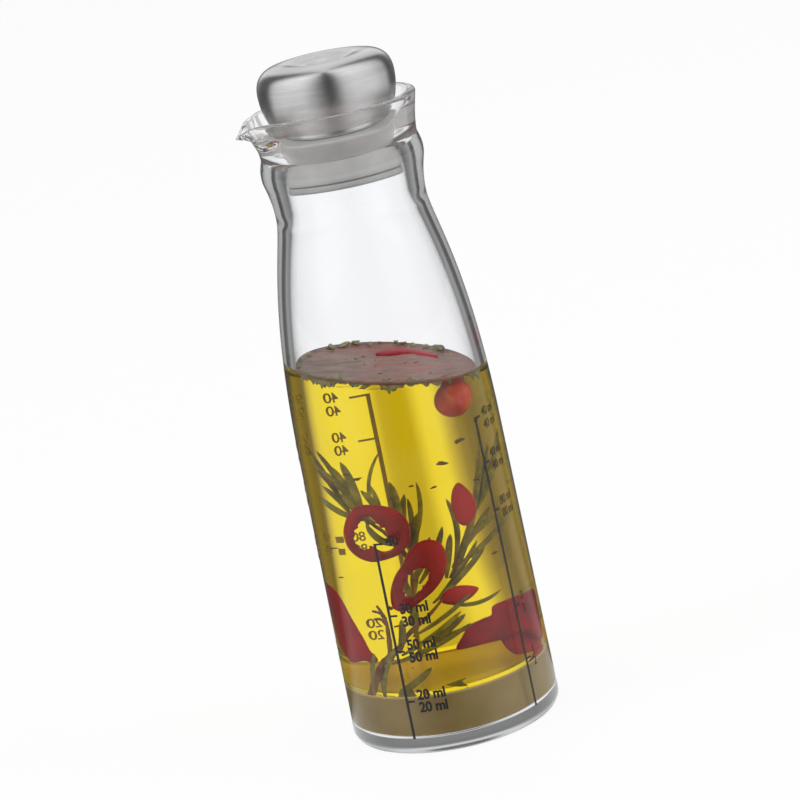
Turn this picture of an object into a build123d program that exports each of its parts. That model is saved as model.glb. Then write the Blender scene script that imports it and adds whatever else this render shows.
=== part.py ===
from build123d import *
import os

# Salad dressing shaker bottle: a glass bottle with a flared pouring collar and beak,
# closed by a steel-capped stopper that lifts straight out of the neck.
# Millimetres. The bottle stands on z = 0 with its axis on Z, and the beak points along -X.

# Glass outside, from the foot up
foot_radius = 32.6
foot_height = 0.0
heel_radius = 34.05
heel_height = 3.2
heel_neck_radius = 33.9
heel_neck_height = 6.2
side_radius = 32.75
side_height = 100.0
waist_radius = 24.0
waist_height = 173.0
bead_radius = 25.85
bead_height = 186.0
groove_radius = 24.8
groove_height = 192.0
rim_radius = 27.1
collar_rise = 13.5
rim_height = groove_height + collar_rise
rim_round = 0.7

# How far each end of a curved stretch runs straight on, as (sideways, upward) shares of its height
side_foot_pull_shares = (-0.014, 0.68)
side_top_pull_shares = (0.0, 0.12)
bead_foot_pull_shares = (0.0, 0.57)
bead_top_pull_shares = (0.0, 0.17)
collar_foot_pull_shares = (0.026, 0.43)
collar_top_pull_shares = (0.068, 0.34)
# The rounded stretch over the bead, as its middle point's (radius, height) shares
bead_over_shares = (0.74, 0.55)

# Glass inside
wall = 3.5
shoulder_wall = 4.6
bore_radius = 18.6
bore_foot_height = 175.0
seat_height = 190.1
seat_top_radius = 20.9
seat_top_height = 196.6
rim_inner_radius = 24.3
mouth_round = 0.7
floor_height = 4.2
floor_corner = 2.4
dome_height = 6.6
punt_radius = 29.4
punt_height = 5.2
# Points of the floor's corner, as shares of its radius, and where the inside follows the outside
# of the shoulder and of the collar, as shares of the way along each
corner_shares = ((0.5, 0.134), (0.866, 0.5))
shoulder_shares = (0.25, 0.42, 0.56, 0.68, 0.8)
mouth_shares = ((0.36, 0.25), (0.7, 0.6))

# Pouring beak, drawn out of the collar along -X
beak_root_reach = 22.2
beak_reach = 31.6
beak_root_width = 27.0
beak_root_depth = 12.5
beak_tip_drop = 3.3
beak_side_width_share = 0.93
beak_side_height_share = 0.42
# Sections of the beak's outside from its root to its tip, as shares of the way out, of the root's
# width and of the root's depth under the rim
beak_shares = (
    (0.0, 1.0, 1.0),
    (0.319, 0.778, 0.72),
    (0.457, 0.619, 0.525),
    (0.628, 0.422, 0.438),
    (0.819, 0.218, 0.39),
    (1.0, 0.067, 0.36),
)
# The same for its channel, from inside the rim to past the tip
channel_shares = (
    (-0.351, 1.007, 0.688),
    (0.0, 0.844, 0.648),
    (0.319, 0.615, 0.552),
    (0.457, 0.474, 0.408),
    (0.628, 0.304, 0.336),
    (0.819, 0.133, 0.304),
    (1.053, 0.033, 0.316),
)
# The lip line from the root to the tip, as shares of the way out and of the drop
lip_shares = ((0.319, 0.1), (0.457, 0.2), (0.628, 0.42), (0.819, 0.73))
lip_start_share = 0.06

# Steel cap, a thin drawn shell with a dished top and a rolled edge
cap_sheet = 0.8
cap_mouth_radius = 18.1
cap_mouth_height = 197.3
cap_hem_height = 1.9
cap_hem_width = 1.9
cap_hem_round = 0.5
cap_side_radius = 21.75
cap_side_rise = 12.8
cap_crest_radius = 13.0
cap_crest_rise = 8.0
dish_depth = 2.8
# Pulls of the side, the shoulder and the dish, as (sideways, upward) shares of their heights
cap_foot_pull_shares = (0.031, 0.078)
cap_side_pull_shares = (0.0, 0.6)
cap_shoulder_pull_shares = (0.0, 0.6)
cap_crest_pull_shares = (-0.78, 0.0)
dish_edge_pull_shares = (1.6, 0.0)
dish_middle_pull_shares = (1.9, 0.0)
# Where the sheet bends, as shares of the way along each stretch, from the mouth to the crest and
# then from the crest to the middle
cap_side_shares = (0.25, 0.45, 0.62, 0.8)
cap_shoulder_shares = (0.0, 0.22, 0.36, 0.48, 0.6, 0.73, 0.86)
cap_dish_shares = (1.0, 0.72, 0.55, 0.4, 0.22, 0.0)

# Stopper core, a hollow moulding that snaps behind the cap's rolled edge
core_wall = 1.6
core_radius = 15.2
core_boss_radius = 16.0
core_boss_top = 203.0
core_snap_radius = 16.9
core_snap_height = 1.5
core_snap_gap = 0.2
core_foot_height = 182.2
core_flange_radius = 18.0
core_flange_height = 2.2
core_flange_round = 0.5

# Silicone pieces on the core
ring_gap = 0.05
seat_gap = 0.3
gasket_top_height = 197.25
gasket_round = 0.5
seal_gap = 0.5
seal_lip_gap = 0.3
seal_lip_height = 0.7
seal_lip_slope = 0.5

overrun = 2.0


def between(low, high, share):
    """The value that lies at a share of the way from low to high."""
    return low + (high - low) * share


def bend(foot, top, foot_pull_shares, top_pull_shares):
    """A smooth curve from foot to top, whose ends run straight on for their pulls."""
    height = abs(top[1] - foot[1])
    after_foot = (foot[0] + foot_pull_shares[0] * height, foot[1] + foot_pull_shares[1] * height)
    before_top = (top[0] - top_pull_shares[0] * height, top[1] - top_pull_shares[1] * height)
    return Bezier(foot, after_foot, before_top, top)


def turned(outline):
    """The solid that a closed outline in (radius, height) sweeps round the bottle's axis."""
    return revolve(Plane.XZ * make_face(outline), Axis.Z)


def band(inner, outer, low, high):
    """A plain ring round the axis."""
    return turned(Polyline((inner, low), (outer, low), (outer, high), (inner, high), close=True))


def shoulder_curve():
    """The glass from the straight side to the waist."""
    foot = (side_radius, side_height)
    return bend(foot, (waist_radius, waist_height), side_foot_pull_shares, side_top_pull_shares)


def glass_outside():
    """Outline of the whole glass body as if it were solid, with its bead, groove and collar."""
    heel = (heel_radius, heel_height)
    waist = (waist_radius, waist_height)
    bead = (bead_radius, bead_height)
    groove = (groove_radius, groove_height)
    rim = (rim_radius, rim_height - rim_round)
    over_radius_share, over_height_share = bead_over_shares
    over = (
        between(groove_radius, bead_radius, over_radius_share),
        between(bead_height, groove_height, over_height_share),
    )
    return Curve() + [
        TangentArc(heel, (foot_radius, foot_height), tangent=(0, -1)),
        Polyline(heel, (heel_neck_radius, heel_neck_height), (side_radius, side_height)),
        shoulder_curve(),
        bend(waist, bead, bead_foot_pull_shares, bead_top_pull_shares),
        ThreePointArc(bead, over, groove),
        bend(groove, rim, collar_foot_pull_shares, collar_top_pull_shares),
        Polyline(
            rim,
            (rim_radius - rim_round, rim_height),
            (0, rim_height),
            (0, foot_height),
            (foot_radius, foot_height),
        ),
    ]


def glass_hollow():
    """Outline of the space inside: domed floor, side, straight neck, seat and collar."""
    corner_radius = heel_neck_radius - wall - floor_corner
    corner = [
        (corner_radius + floor_corner * out, floor_height + floor_corner * up)
        for out, up in corner_shares
    ]
    shoulder = []
    for share in shoulder_shares:
        point = shoulder_curve() @ share
        shoulder.append((point.X - between(wall, shoulder_wall, share), point.Y))
    mouth = [
        (between(seat_top_radius, rim_inner_radius, out), between(seat_top_height, rim_height, up))
        for up, out in mouth_shares
    ]
    top = (0, floor_height + dome_height)
    edge = (corner_radius, floor_height)
    return Curve() + [
        TangentArc(top, edge, tangent=(1, 0)),
        Polyline(
            edge,
            *corner,
            (heel_neck_radius - wall, floor_height + floor_corner),
            (side_radius - wall, side_height),
            *shoulder,
            (bore_radius, bore_foot_height),
            (bore_radius, seat_height),
            (seat_top_radius, seat_top_height),
            *mouth,
            (rim_inner_radius, rim_height - mouth_round),
            (rim_inner_radius + mouth_round, rim_height),
            (rim_inner_radius + mouth_round, rim_height + overrun),
            (0, rim_height + overrun),
            top,
        ),
    ]


def punt():
    """The shallow hollow under the foot."""
    edge = (punt_radius, foot_height)
    low = foot_height - overrun
    outline = Curve() + [
        TangentArc((0, punt_height), edge, tangent=(1, 0)),
        Polyline(edge, (punt_radius, low), (0, low), (0, punt_height)),
    ]
    return turned(outline)


def beak_section(reach, half_width, low):
    """A U-shaped section of the beak, square to X at that reach, open well above the lip."""
    plane = Plane(origin=(-reach, 0, 0), x_dir=(0, -1, 0), z_dir=(-1, 0, 0))
    high = rim_height + overrun
    knee_width = half_width * beak_side_width_share
    knee_height = between(low, high, beak_side_height_share)
    down = (0, -1)
    outline = Curve() + [
        Line((-half_width, high), (half_width, high)),
        Spline((half_width, high), (knee_width, knee_height), (0, low), tangents=(down, (-1, 0))),
        Spline((-half_width, high), (-knee_width, knee_height), (0, low), tangents=(down, (1, 0))),
    ]
    return plane * make_face(outline)


def beak_horn(shares):
    """A solid horn through the sections that a table of shares gives."""
    sections = []
    for out, wide, deep in shares:
        reach = between(beak_root_reach, beak_reach, out)
        sections.append(beak_section(reach, beak_root_width * wide / 2, rim_height - beak_root_depth * deep))
    return loft(sections)


def above_lip():
    """Everything over the lip line, which droops from the rim to the beak's tip."""
    root = (-beak_root_reach, rim_height)
    tip = (-beak_reach, rim_height - beak_tip_drop)
    points = [(between(root[0], tip[0], out), between(root[1], tip[1], drop)) for out, drop in lip_shares]
    start = (root[0] + overrun, root[1] + overrun * lip_start_share)
    past = (tip[0] - overrun, tip[1] - overrun)
    high = rim_height + overrun * 2
    outline = Curve() + [
        Spline(start, root, *points, tip),
        Line(tip, past),
        Polyline(past, (past[0], high), (start[0], high), start),
    ]
    return extrude(Plane.XZ * make_face(outline), beak_root_width, both=True)


def glass_bottle():
    """One piece of pressed and blown glass."""
    body = turned(glass_outside()) + beak_horn(beak_shares) - above_lip()
    return body - turned(glass_hollow()) - beak_horn(channel_shares) - punt()


def cap_curves():
    """The cap's outside as three stretches: its side, its shoulder and its dish."""
    foot = (cap_mouth_radius, cap_mouth_height + cap_hem_height)
    side = (cap_side_radius, foot[1] + cap_side_rise)
    crest = (cap_crest_radius, side[1] + cap_crest_rise)
    middle = (0, crest[1] - dish_depth)
    return [
        bend(foot, side, cap_foot_pull_shares, cap_side_pull_shares),
        bend(side, crest, cap_shoulder_pull_shares, cap_crest_pull_shares),
        bend(middle, crest, dish_middle_pull_shares, dish_edge_pull_shares),
    ]


def cap_points(sheet):
    """The cap's outline from the top of its hem to the axis, moved in by a sheet's thickness."""
    points = [(cap_mouth_radius - sheet, cap_mouth_height + cap_hem_height)]
    for curve, shares in zip(cap_curves(), (cap_side_shares, cap_shoulder_shares)):
        for share in shares:
            point = curve @ share
            along = curve % share
            points.append((point.X - along.Y * sheet, point.Y + along.X * sheet))
    for share in cap_dish_shares:
        point = cap_curves()[2] @ share
        points.append((point.X, point.Y - sheet))
    return points


def steel_cap():
    """Drawn and spun steel shell with its rolled edge."""
    hem_top = cap_mouth_height + cap_hem_height
    outer = turned(Polyline(*cap_points(0), (0, hem_top), close=True))
    inner = turned(Polyline(*cap_points(cap_sheet), (0, hem_top), close=True))
    hem = band(cap_mouth_radius - cap_hem_width, cap_mouth_radius, cap_mouth_height, hem_top)
    hem_foot = hem.edges().filter_by(GeomType.CIRCLE).group_by(Axis.Z)[0]
    return (outer - inner) + chamfer(hem_foot, cap_hem_round)


def stopper_core():
    """Cup-shaped core: stem, boss with a snap bead in the cap, and a flange under the seal."""
    hollow_radius = core_radius - core_wall
    snap_low = cap_mouth_height + cap_hem_height + core_snap_gap
    stem = band(0, core_radius, core_foot_height, gasket_top_height)
    boss = band(0, core_boss_radius, gasket_top_height, core_boss_top)
    snap = turned(
        Polyline(
            (0, snap_low),
            (core_snap_radius, snap_low),
            (core_boss_radius, snap_low + core_snap_height),
            (0, snap_low + core_snap_height),
            close=True,
        )
    )
    flange = band(0, core_flange_radius, core_foot_height, core_foot_height + core_flange_height)
    flange = chamfer(flange.edges().filter_by(GeomType.CIRCLE), core_flange_round)
    hollow = band(0, hollow_radius, core_foot_height + core_wall, core_boss_top + overrun)
    return stem + boss + snap + flange - hollow


def seat_gasket():
    """Silicone cone that seats in the bottle's mouth, a seat gap inside the glass."""
    inner = core_radius + ring_gap
    foot_radius = bore_radius - seat_gap
    top_radius = seat_top_radius - seat_gap
    body = turned(
        Polyline(
            (inner, seat_height),
            (foot_radius, seat_height),
            (top_radius, seat_top_height),
            (top_radius, gasket_top_height),
            (inner, gasket_top_height),
            close=True,
        )
    )
    outer_top = body.edges().filter_by(GeomType.CIRCLE).group_by(Axis.Z)[-1].sort_by(SortBy.RADIUS)[-1]
    return chamfer(outer_top, gasket_round)


def neck_seal():
    """Silicone sleeve on the core's stem, with a lip that wipes the neck."""
    inner = core_radius + ring_gap
    low = core_foot_height + core_flange_height + ring_gap
    high = seat_height - ring_gap
    sleeve_radius = bore_radius - seal_gap
    lip_radius = bore_radius - seal_lip_gap
    lip_low = low + seal_lip_slope
    return turned(
        Polyline(
            (inner, low),
            (sleeve_radius, low),
            (lip_radius, lip_low),
            (lip_radius, lip_low + seal_lip_height),
            (sleeve_radius, lip_low + seal_lip_height + seal_lip_slope),
            (sleeve_radius, high),
            (inner, high),
            close=True,
        )
    )


def main():
    os.makedirs("parts", exist_ok=True)
    pieces = {
        "glass_bottle": glass_bottle(),
        "steel_cap": steel_cap(),
        "stopper_core": stopper_core(),
        "seat_gasket": seat_gasket(),
        "neck_seal": neck_seal(),
    }
    for name, piece in pieces.items():
        export_step(piece, f"parts/{name}.step")


main()
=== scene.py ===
import math
from random import Random

import bmesh
import bpy
from bpy.props import FloatProperty, FloatVectorProperty, IntProperty, PointerProperty
from mathutils import Matrix, Vector, noise


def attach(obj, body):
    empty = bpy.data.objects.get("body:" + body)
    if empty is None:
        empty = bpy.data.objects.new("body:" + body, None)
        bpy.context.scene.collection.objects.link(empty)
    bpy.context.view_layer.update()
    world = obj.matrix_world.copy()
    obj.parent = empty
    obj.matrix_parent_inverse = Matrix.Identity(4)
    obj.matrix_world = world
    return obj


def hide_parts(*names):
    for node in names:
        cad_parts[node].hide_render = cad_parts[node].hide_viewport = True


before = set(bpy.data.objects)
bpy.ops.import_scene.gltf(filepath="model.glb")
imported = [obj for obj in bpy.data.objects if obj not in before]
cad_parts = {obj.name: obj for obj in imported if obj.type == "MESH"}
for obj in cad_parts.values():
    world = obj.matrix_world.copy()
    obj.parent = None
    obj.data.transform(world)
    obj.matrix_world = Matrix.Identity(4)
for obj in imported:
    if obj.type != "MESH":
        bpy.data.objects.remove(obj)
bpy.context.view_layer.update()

bl_info = {
    "name": "Salad dressing shaker bottle",
    "version": (1, 0, 0),
    "blender": (4, 5, 0),
    "location": "View3D > Sidebar > Dressing bottle",
    "description": "Dresses the packed bottle: glass, steel cap, silicone, dressing, herbs and volume marks",
    "category": "Object",
}

MM = 0.001

# The glass, in millimetres: the height of its rim and of its collar's foot, the floor inside, and the hollow under it
RIM_HEIGHT, COLLAR_FOOT = 205.5, 190.4
FLOOR_EDGE, FLOOR_RISE = (28.0, 4.2), 6.6
FOOT_RING, PUNT_RISE = 29.4, 5.2
# Lines of (radius, height) that are drawn smoothly: the heel and bead outside, the floor's corner and the seat inside
HEEL = (
    (FOOT_RING, 0.0), (30.6, 0.0), (31.8, 0.04), (32.8, 0.45), (33.6, 1.5), (33.99, 2.6), (34.05, 3.5), (34.0, 4.8),
    (33.9, 6.2),
)
BEAD = ((25.85, 186.0), (25.84, 187.6), (25.577, 189.3), (25.13, 190.9), (24.8, 192.0))
CORNER = (FLOOR_EDGE, (29.2, 4.52), (30.08, 5.4), (30.4, 6.6))
SEAT = ((18.9, 190.8), (20.6, 195.7), (21.25, 197.4), (23.28, 201.94), (24.3, RIM_HEIGHT))
# Curves as the CAD model draws them: foot, top, how far each end is pulled, and how many points
SHOULDER = ((32.75, 100.0), (24.0, 173.0), (-0.014, 0.68), (0.0, 0.12), 48)
NECK = ((24.0, 173.0), (25.85, 186.0), (0.0, 0.57), (0.0, 0.17), 18)
COLLAR = ((24.8, 192.0), (27.1, RIM_HEIGHT), (0.026, 0.43), (0.068, 0.34), 24)
SIDE_WALL, SHOULDER_WALL, NECK_BORE = 3.5, 4.6, 18.6
# The pouring beak: where it leaves the collar, how far it reaches, and how it narrows and lifts
BEAK_ROOT, BEAK_REACH = 22.2, 31.6
BEAK_WIDTH, BEAK_DEPTH, BEAK_DROP = 27.0, 12.5, 3.3
BEAK_OUTSIDE = (
    (0.0, 1.0, 1.0),
    (0.319, 0.778, 0.72),
    (0.457, 0.619, 0.525),
    (0.628, 0.422, 0.438),
    (0.819, 0.22, 0.39),
    (0.93, 0.12, 0.368),
    (0.98, 0.065, 0.362),
    (1.0, 0.0, 0.36),
)
BEAK_CHANNEL = (
    (-0.351, 1.007, 0.688),
    (0.0, 0.844, 0.648),
    (0.319, 0.615, 0.552),
    (0.457, 0.474, 0.408),
    (0.628, 0.304, 0.336),
    (0.819, 0.133, 0.304),
    (1.053, 0.033, 0.316),
)
BEAK_LIP = ((0.0, 0.0), (0.319, 0.1), (0.457, 0.2), (0.628, 0.42), (0.819, 0.73), (1.0, 1.0))
# How square the beak's sides are, how far round the axis it is looked for, from which radius and in what steps
BEAK_SQUARE, BEAK_SPREAD = 3.7, 1.35
SEARCH_FROM, SEARCH_STEP = 14, 0.4
# The lip's least thickness, the radius it is rounded to, and how far under the rim it is measured
THINNEST_LIP, LIP_ROUND, UNDER_RIM = 1.1, 1.15, 0.8


# ---------------------------------------------------------------- sizes and colours a user may change


class BottleSizes(bpy.types.PropertyGroup):
    view_azimuth: FloatProperty(
        name="View azimuth",
        description="Side of the bottle that faces the camera",
        default=math.radians(-12),
        subtype="ANGLE",
    )
    view_lean: FloatProperty(
        name="View lean",
        description="How far the bottle leans in the picture",
        default=math.radians(11.73),
        subtype="ANGLE",
    )
    oil_height: FloatProperty(
        name="Oil height", description="Top of the oil above the foot", default=0.1205, unit="LENGTH"
    )
    oil_lean: FloatProperty(
        name="Oil lean",
        description="How far the top of the oil leans, as far as the bottle in the picture, 0 in a standing bottle",
        default=math.radians(11.73),
        subtype="ANGLE",
    )
    vinegar_height: FloatProperty(
        name="Vinegar height", description="Top of the vinegar above the foot", default=0.0192, unit="LENGTH"
    )
    number_height: FloatProperty(
        name="Number height", description="Height of the printed numbers", default=0.0029, unit="LENGTH"
    )
    crumb_count: IntProperty(
        name="Herb crumbs", description="How many crumbs float round the top of the oil", default=110, min=0, max=400
    )


class BottleColours(bpy.types.PropertyGroup):
    steel: FloatVectorProperty(
        name="Steel", description="Colour of the cap", default=(0.84, 0.83, 0.82), subtype="COLOR", min=0, max=1
    )
    silicone: FloatVectorProperty(
        name="Silicone", description="Colour of the seals", default=(0.58, 0.57, 0.55), subtype="COLOR", min=0, max=1
    )
    pepper: FloatVectorProperty(
        name="Pepper",
        description="Colour of the pepper pieces",
        default=(0.42, 0.004, 0.012),
        subtype="COLOR",
        min=0,
        max=1,
    )
    needle: FloatVectorProperty(
        name="Needle",
        description="Colour of the rosemary needles",
        default=(0.26, 0.25, 0.085),
        subtype="COLOR",
        min=0,
        max=1,
    )
    ink: FloatVectorProperty(
        name="Ink",
        description="Colour of the volume marks",
        default=(0.012, 0.012, 0.013),
        subtype="COLOR",
        min=0,
        max=1,
    )


def sizes():
    return bpy.context.scene.bottle_sizes


def colours():
    return bpy.context.scene.bottle_colours


# ---------------------------------------------------------------- lines and curves


def along(low, high, share):
    return low + (high - low) * share


def part_turn(i, count):
    """The angle of one of so many equal steps round the axis."""
    return 2 * math.pi * i / count


def polar(radius, angle, height=0.0):
    """A place round the axis in metres, from a radius and a height in millimetres."""
    return radius * MM * math.cos(angle), radius * MM * math.sin(angle), height * MM


def arc(middle, radius, degrees):
    """Points of an arc round its middle, at each angle."""
    swings = [math.radians(a) for a in degrees]
    return [(middle[0] + radius * math.cos(swing), middle[1] + radius * math.sin(swing)) for swing in swings]


def straight(start, end, count):
    """Points after the start of a straight line."""
    return [(along(start[0], end[0], i / count), along(start[1], end[1], i / count)) for i in range(1, count + 1)]


def ripple(x, y, scale, layer):
    """Smooth noise over a plane, different in each layer."""
    return noise.noise(Vector((x * scale, y * scale, layer)))


def pulled_curve(foot, top, foot_pull, top_pull, count):
    """Points after the foot of the curve that the CAD model draws between two heights."""
    height = abs(top[1] - foot[1])
    after_foot = (foot[0] + foot_pull[0] * height, foot[1] + foot_pull[1] * height)
    before_top = (top[0] - top_pull[0] * height, top[1] - top_pull[1] * height)
    points = []
    for i in range(1, count + 1):
        t = i / count
        weights = ((1 - t) ** 3, 3 * t * (1 - t) ** 2, 3 * t * t * (1 - t), t**3)
        corners = (foot, after_foot, before_top, top)
        points.append(tuple(sum(w * c[k] for w, c in zip(weights, corners)) for k in (0, 1)))
    return points


def through(points, per_span):
    """A smooth line through the points, as many to a span as asked."""
    points = [Vector(p) for p in points]
    ends = [points[0] * 2 - points[1]] + points + [points[-1] * 2 - points[-2]]
    line = [points[0]]
    for a, b, c, d in zip(ends, ends[1:], ends[2:], ends[3:]):
        t1 = max((b - a).length, 1e-9) ** 0.5
        t2 = t1 + max((c - b).length, 1e-9) ** 0.5
        t3 = t2 + max((d - c).length, 1e-9) ** 0.5
        for i in range(1, per_span + 1):
            t = along(t1, t2, i / per_span)
            ab = a.lerp(b, t / t1)
            bc = b.lerp(c, (t - t1) / (t2 - t1))
            cd = c.lerp(d, (t - t2) / (t3 - t2))
            abc = ab.lerp(bc, t / t2)
            bcd = bc.lerp(cd, (t - t1) / (t3 - t1))
            line.append(abc.lerp(bcd, (t - t1) / (t2 - t1)))
    return line


def smooth(points, per_span):
    """A smooth line as plain tuples."""
    return [tuple(p) for p in through(points, per_span)]


def read_line(line, height):
    """The radius of a (radius, height) line at a height."""
    if height <= line[0][1]:
        return line[0][0]
    for (r0, z0), (r1, z1) in zip(line, line[1:]):
        if z0 <= height <= z1:
            return along(r0, r1, (height - z0) / max(z1 - z0, 1e-9))
    return line[-1][0]


def read_table(table, share):
    """The columns of a table after its first, read smoothly at a share."""
    if share <= table[0][0]:
        return table[0][1:]
    for i in range(len(table) - 1):
        if share <= table[i + 1][0]:
            break
    else:
        return table[-1][1:]
    before, a, b, after = table[max(i - 1, 0)], table[i], table[i + 1], table[min(i + 2, len(table) - 1)]
    width = b[0] - a[0]
    t = (share - a[0]) / width
    values = []
    for k in range(1, len(a)):
        slope_a = (b[k] - before[k]) / max(b[0] - before[0], 1e-9)
        slope_b = (after[k] - a[k]) / max(after[0] - a[0], 1e-9)
        rise = (2 * t**3 - 3 * t**2 + 1) * a[k] + (3 * t**2 - 2 * t**3) * b[k]
        values.append(rise + width * ((t**3 - 2 * t**2 + t) * slope_a + (t**3 - t**2) * slope_b))
    return values


# ---------------------------------------------------------------- the glass, as (radius, height) in millimetres


def glass_side():
    """Outside of the glass from the foot ring to the rim."""
    line = smooth(HEEL, 3) + straight(HEEL[-1], SHOULDER[0], 30) + pulled_curve(*SHOULDER) + pulled_curve(*NECK)
    return line + smooth(BEAD, 5)[1:] + pulled_curve(*COLLAR)


def glass_inside():
    """Inside of the glass from the edge of its floor to the rim."""
    line = smooth(CORNER, 6) + straight(CORNER[-1], (29.25, 100.0), 24)
    count, thickens = SHOULDER[-1], 0.8
    for i, (radius, height) in enumerate(pulled_curve(*SHOULDER)[:-6], 1):
        share = min(i / count / thickens, 1) * thickens
        line.append((radius - along(SIDE_WALL, SHOULDER_WALL, share), height))
    line += smooth([*line[-2:], (18.72, 174.2), (NECK_BORE, 177.5), (NECK_BORE, 182.0)], 6)[7:]
    line += [(NECK_BORE, 186.0), (NECK_BORE, 189.4), (18.68, 190.1)]
    return line + smooth(SEAT, 6)


def dome_line(edge, foot, rise):
    """A shallow dome from its middle to just before its edge."""
    ball = (edge**2 + rise**2) / (2 * rise)
    return [(edge * i / 12, foot + rise - ball + math.sqrt(ball**2 - (edge * i / 12) ** 2)) for i in range(12)]


def floor_dome(drop):
    """The domed floor inside the bottle, let down a little where a liquid is pressed into it."""
    return dome_line(FLOOR_EDGE[0], FLOOR_EDGE[1] - drop, FLOOR_RISE)


GLASS_SIDE = glass_side()
GLASS_INSIDE = glass_inside()


def beak_half_width(reach, height, table):
    """Half the width of the beak's outside or channel, across X, at a reach and a height."""
    share = (reach - BEAK_ROOT) / (BEAK_REACH - BEAK_ROOT)
    if share > table[-1][0]:
        return 0.0
    wide, deep = read_table(table, share)
    low = RIM_HEIGHT - BEAK_DEPTH * deep
    up = (height - low) / (RIM_HEIGHT + 2 - low)
    if up <= 0:
        return 0.0
    return max(wide, 0) * BEAK_WIDTH / 2 * math.sqrt(1 - (1 - min(up, 1)) ** BEAK_SQUARE)


def beak_radius(turn, height, table):
    """How far out from the axis the beak reaches, in a direction turned away from -X."""
    if turn > BEAK_SPREAD:
        return 0.0

    def inside(radius):
        return radius * math.sin(turn) <= beak_half_width(radius * math.cos(turn), height, table) - 1e-6

    radius = (BEAK_REACH + 1.2) / math.cos(turn)
    while radius > SEARCH_FROM and not inside(radius):
        radius -= SEARCH_STEP
    if radius <= SEARCH_FROM:
        return 0.0
    low, high = radius, radius + SEARCH_STEP
    for _ in range(12):
        middle = (low + high) / 2
        low, high = (middle, high) if inside(middle) else (low, middle)
    return low


def flow(a, b, reach):
    """The larger of two radii, with the corner between them filled as molten glass fills it."""
    near = max(reach - abs(a - b), 0) / reach
    return max(a, b) + near * near * reach / 4


def glass_radius(turn, height):
    return flow(read_line(GLASS_SIDE, height), beak_radius(turn, height, BEAK_OUTSIDE), 1.8)


def hollow_radius(turn, height):
    inner = flow(read_line(GLASS_INSIDE, height), beak_radius(turn, height, BEAK_CHANNEL), 1.4)
    return min(inner, glass_radius(turn, height) - THINNEST_LIP)


def lip_height(turn):
    """Height of the rim in a direction: it droops along the beak."""
    height = RIM_HEIGHT
    for _ in range(6):
        reach = glass_radius(turn, height - 0.4) * math.cos(turn)
        share = (reach - BEAK_ROOT) / (BEAK_REACH - BEAK_ROOT)
        wanted = RIM_HEIGHT - BEAK_DROP * read_table(BEAK_LIP, min(max(share, 0), 1))[0]
        height = (height + wanted) / 2
    return height


# ---------------------------------------------------------------- meshes


def new_piece(name, shape, material, body):
    """A mesh object in the row frame that rides on a body. Its shape is (points, faces)."""
    points, faces = shape
    mesh = bpy.data.meshes.new(name)
    mesh.from_pydata([tuple(p) for p in points], [], faces)
    mesh.validate()
    mesh.polygons.foreach_set("use_smooth", [True] * len(mesh.polygons))
    mesh.materials.append(material)
    built = bmesh.new()
    built.from_mesh(mesh)
    bmesh.ops.recalc_face_normals(built, faces=built.faces)
    built.to_mesh(mesh)
    built.free()
    piece = bpy.data.objects.new(name, mesh)
    bpy.context.scene.collection.objects.link(piece)
    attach(piece, body)
    return piece


def join_rings(faces, start, rings, size, looped=False, capped=False):
    """Faces between rings of as many points, which follow each other from a point on."""
    for i in range(rings if looped else rings - 1):
        a, b = start + i * size, start + (i + 1) % rings * size
        for k in range(size):
            m = (k + 1) % size
            faces.append((a + k, b + k, b + m, a + m))
    if capped:
        faces.append([start + k for k in range(size)])
        faces.append([start + (rings - 1) * size + k for k in reversed(range(size))])


def lattice(columns, looped):
    """Points and faces of columns that stand round the axis. A column that isn't looped starts and ends on the axis."""
    count, rows = len(columns), len(columns[0])
    faces = []
    if looped:
        join_rings(faces, 0, count, rows, looped=True)
        return [p for column in columns for p in column], faces
    inner = rows - 2
    points = [columns[0][0], columns[0][-1]] + [p for column in columns for p in column[1:-1]]
    for i in range(count):
        a, b = 2 + i * inner, 2 + (i + 1) % count * inner
        faces.append((0, b, a))
        faces += [(a + k, b + k, b + k + 1, a + k + 1) for k in range(inner - 1)]
        faces.append((1, a + inner - 1, b + inner - 1))
    return points, faces


def turned(line, segments, looped):
    """A (radius, height) line in millimetres, turned round the axis."""
    return lattice([[polar(r, part_turn(i, segments), z) for r, z in line] for i in range(segments)], looped)


def rounded(corners, radius, steps=4, closed=True):
    """A line of corners with each corner rounded, like a moulding's edge."""
    corners = [Vector(c) for c in corners]
    line = []
    for i, corner in enumerate(corners):
        if not closed and i in (0, len(corners) - 1):
            line.append(tuple(corner))
            continue
        before, after = corners[i - 1], corners[(i + 1) % len(corners)]
        reach = min(radius, (before - corner).length * 0.45, (after - corner).length * 0.45)
        a = corner + (before - corner).normalized() * reach
        b = corner + (after - corner).normalized() * reach
        for k in range(steps + 1):
            t = k / steps
            line.append(tuple(a.lerp(corner, t).lerp(corner.lerp(b, t), t)))
    return line


def seen(across, toward, up):
    """A place in the bottle given in millimetres as the camera's side sees it: to the right, towards it, up."""
    azimuth = sizes().view_azimuth
    right = Vector((math.cos(azimuth), math.sin(azimuth), 0))
    front = Vector((math.sin(azimuth), -math.cos(azimuth), 0))
    return (right * across + front * toward + Vector((0, 0, up))) * MM


def facing_angle(degrees=0.0):
    """An angle round the axis, from degrees right of the camera's side."""
    return sizes().view_azimuth - math.pi / 2 + math.radians(degrees)


def kept_inside(point, gap=0.8):
    """A point in metres, drawn in where it needs it to stay clear of the glass by a gap in millimetres."""
    limit = (read_line(GLASS_INSIDE, point.z / MM) - gap) * MM
    radius = math.hypot(point.x, point.y)
    if radius > limit:
        return Vector((point.x * limit / radius, point.y * limit / radius, point.z))
    return point


# ---------------------------------------------------------------- finishes


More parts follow.
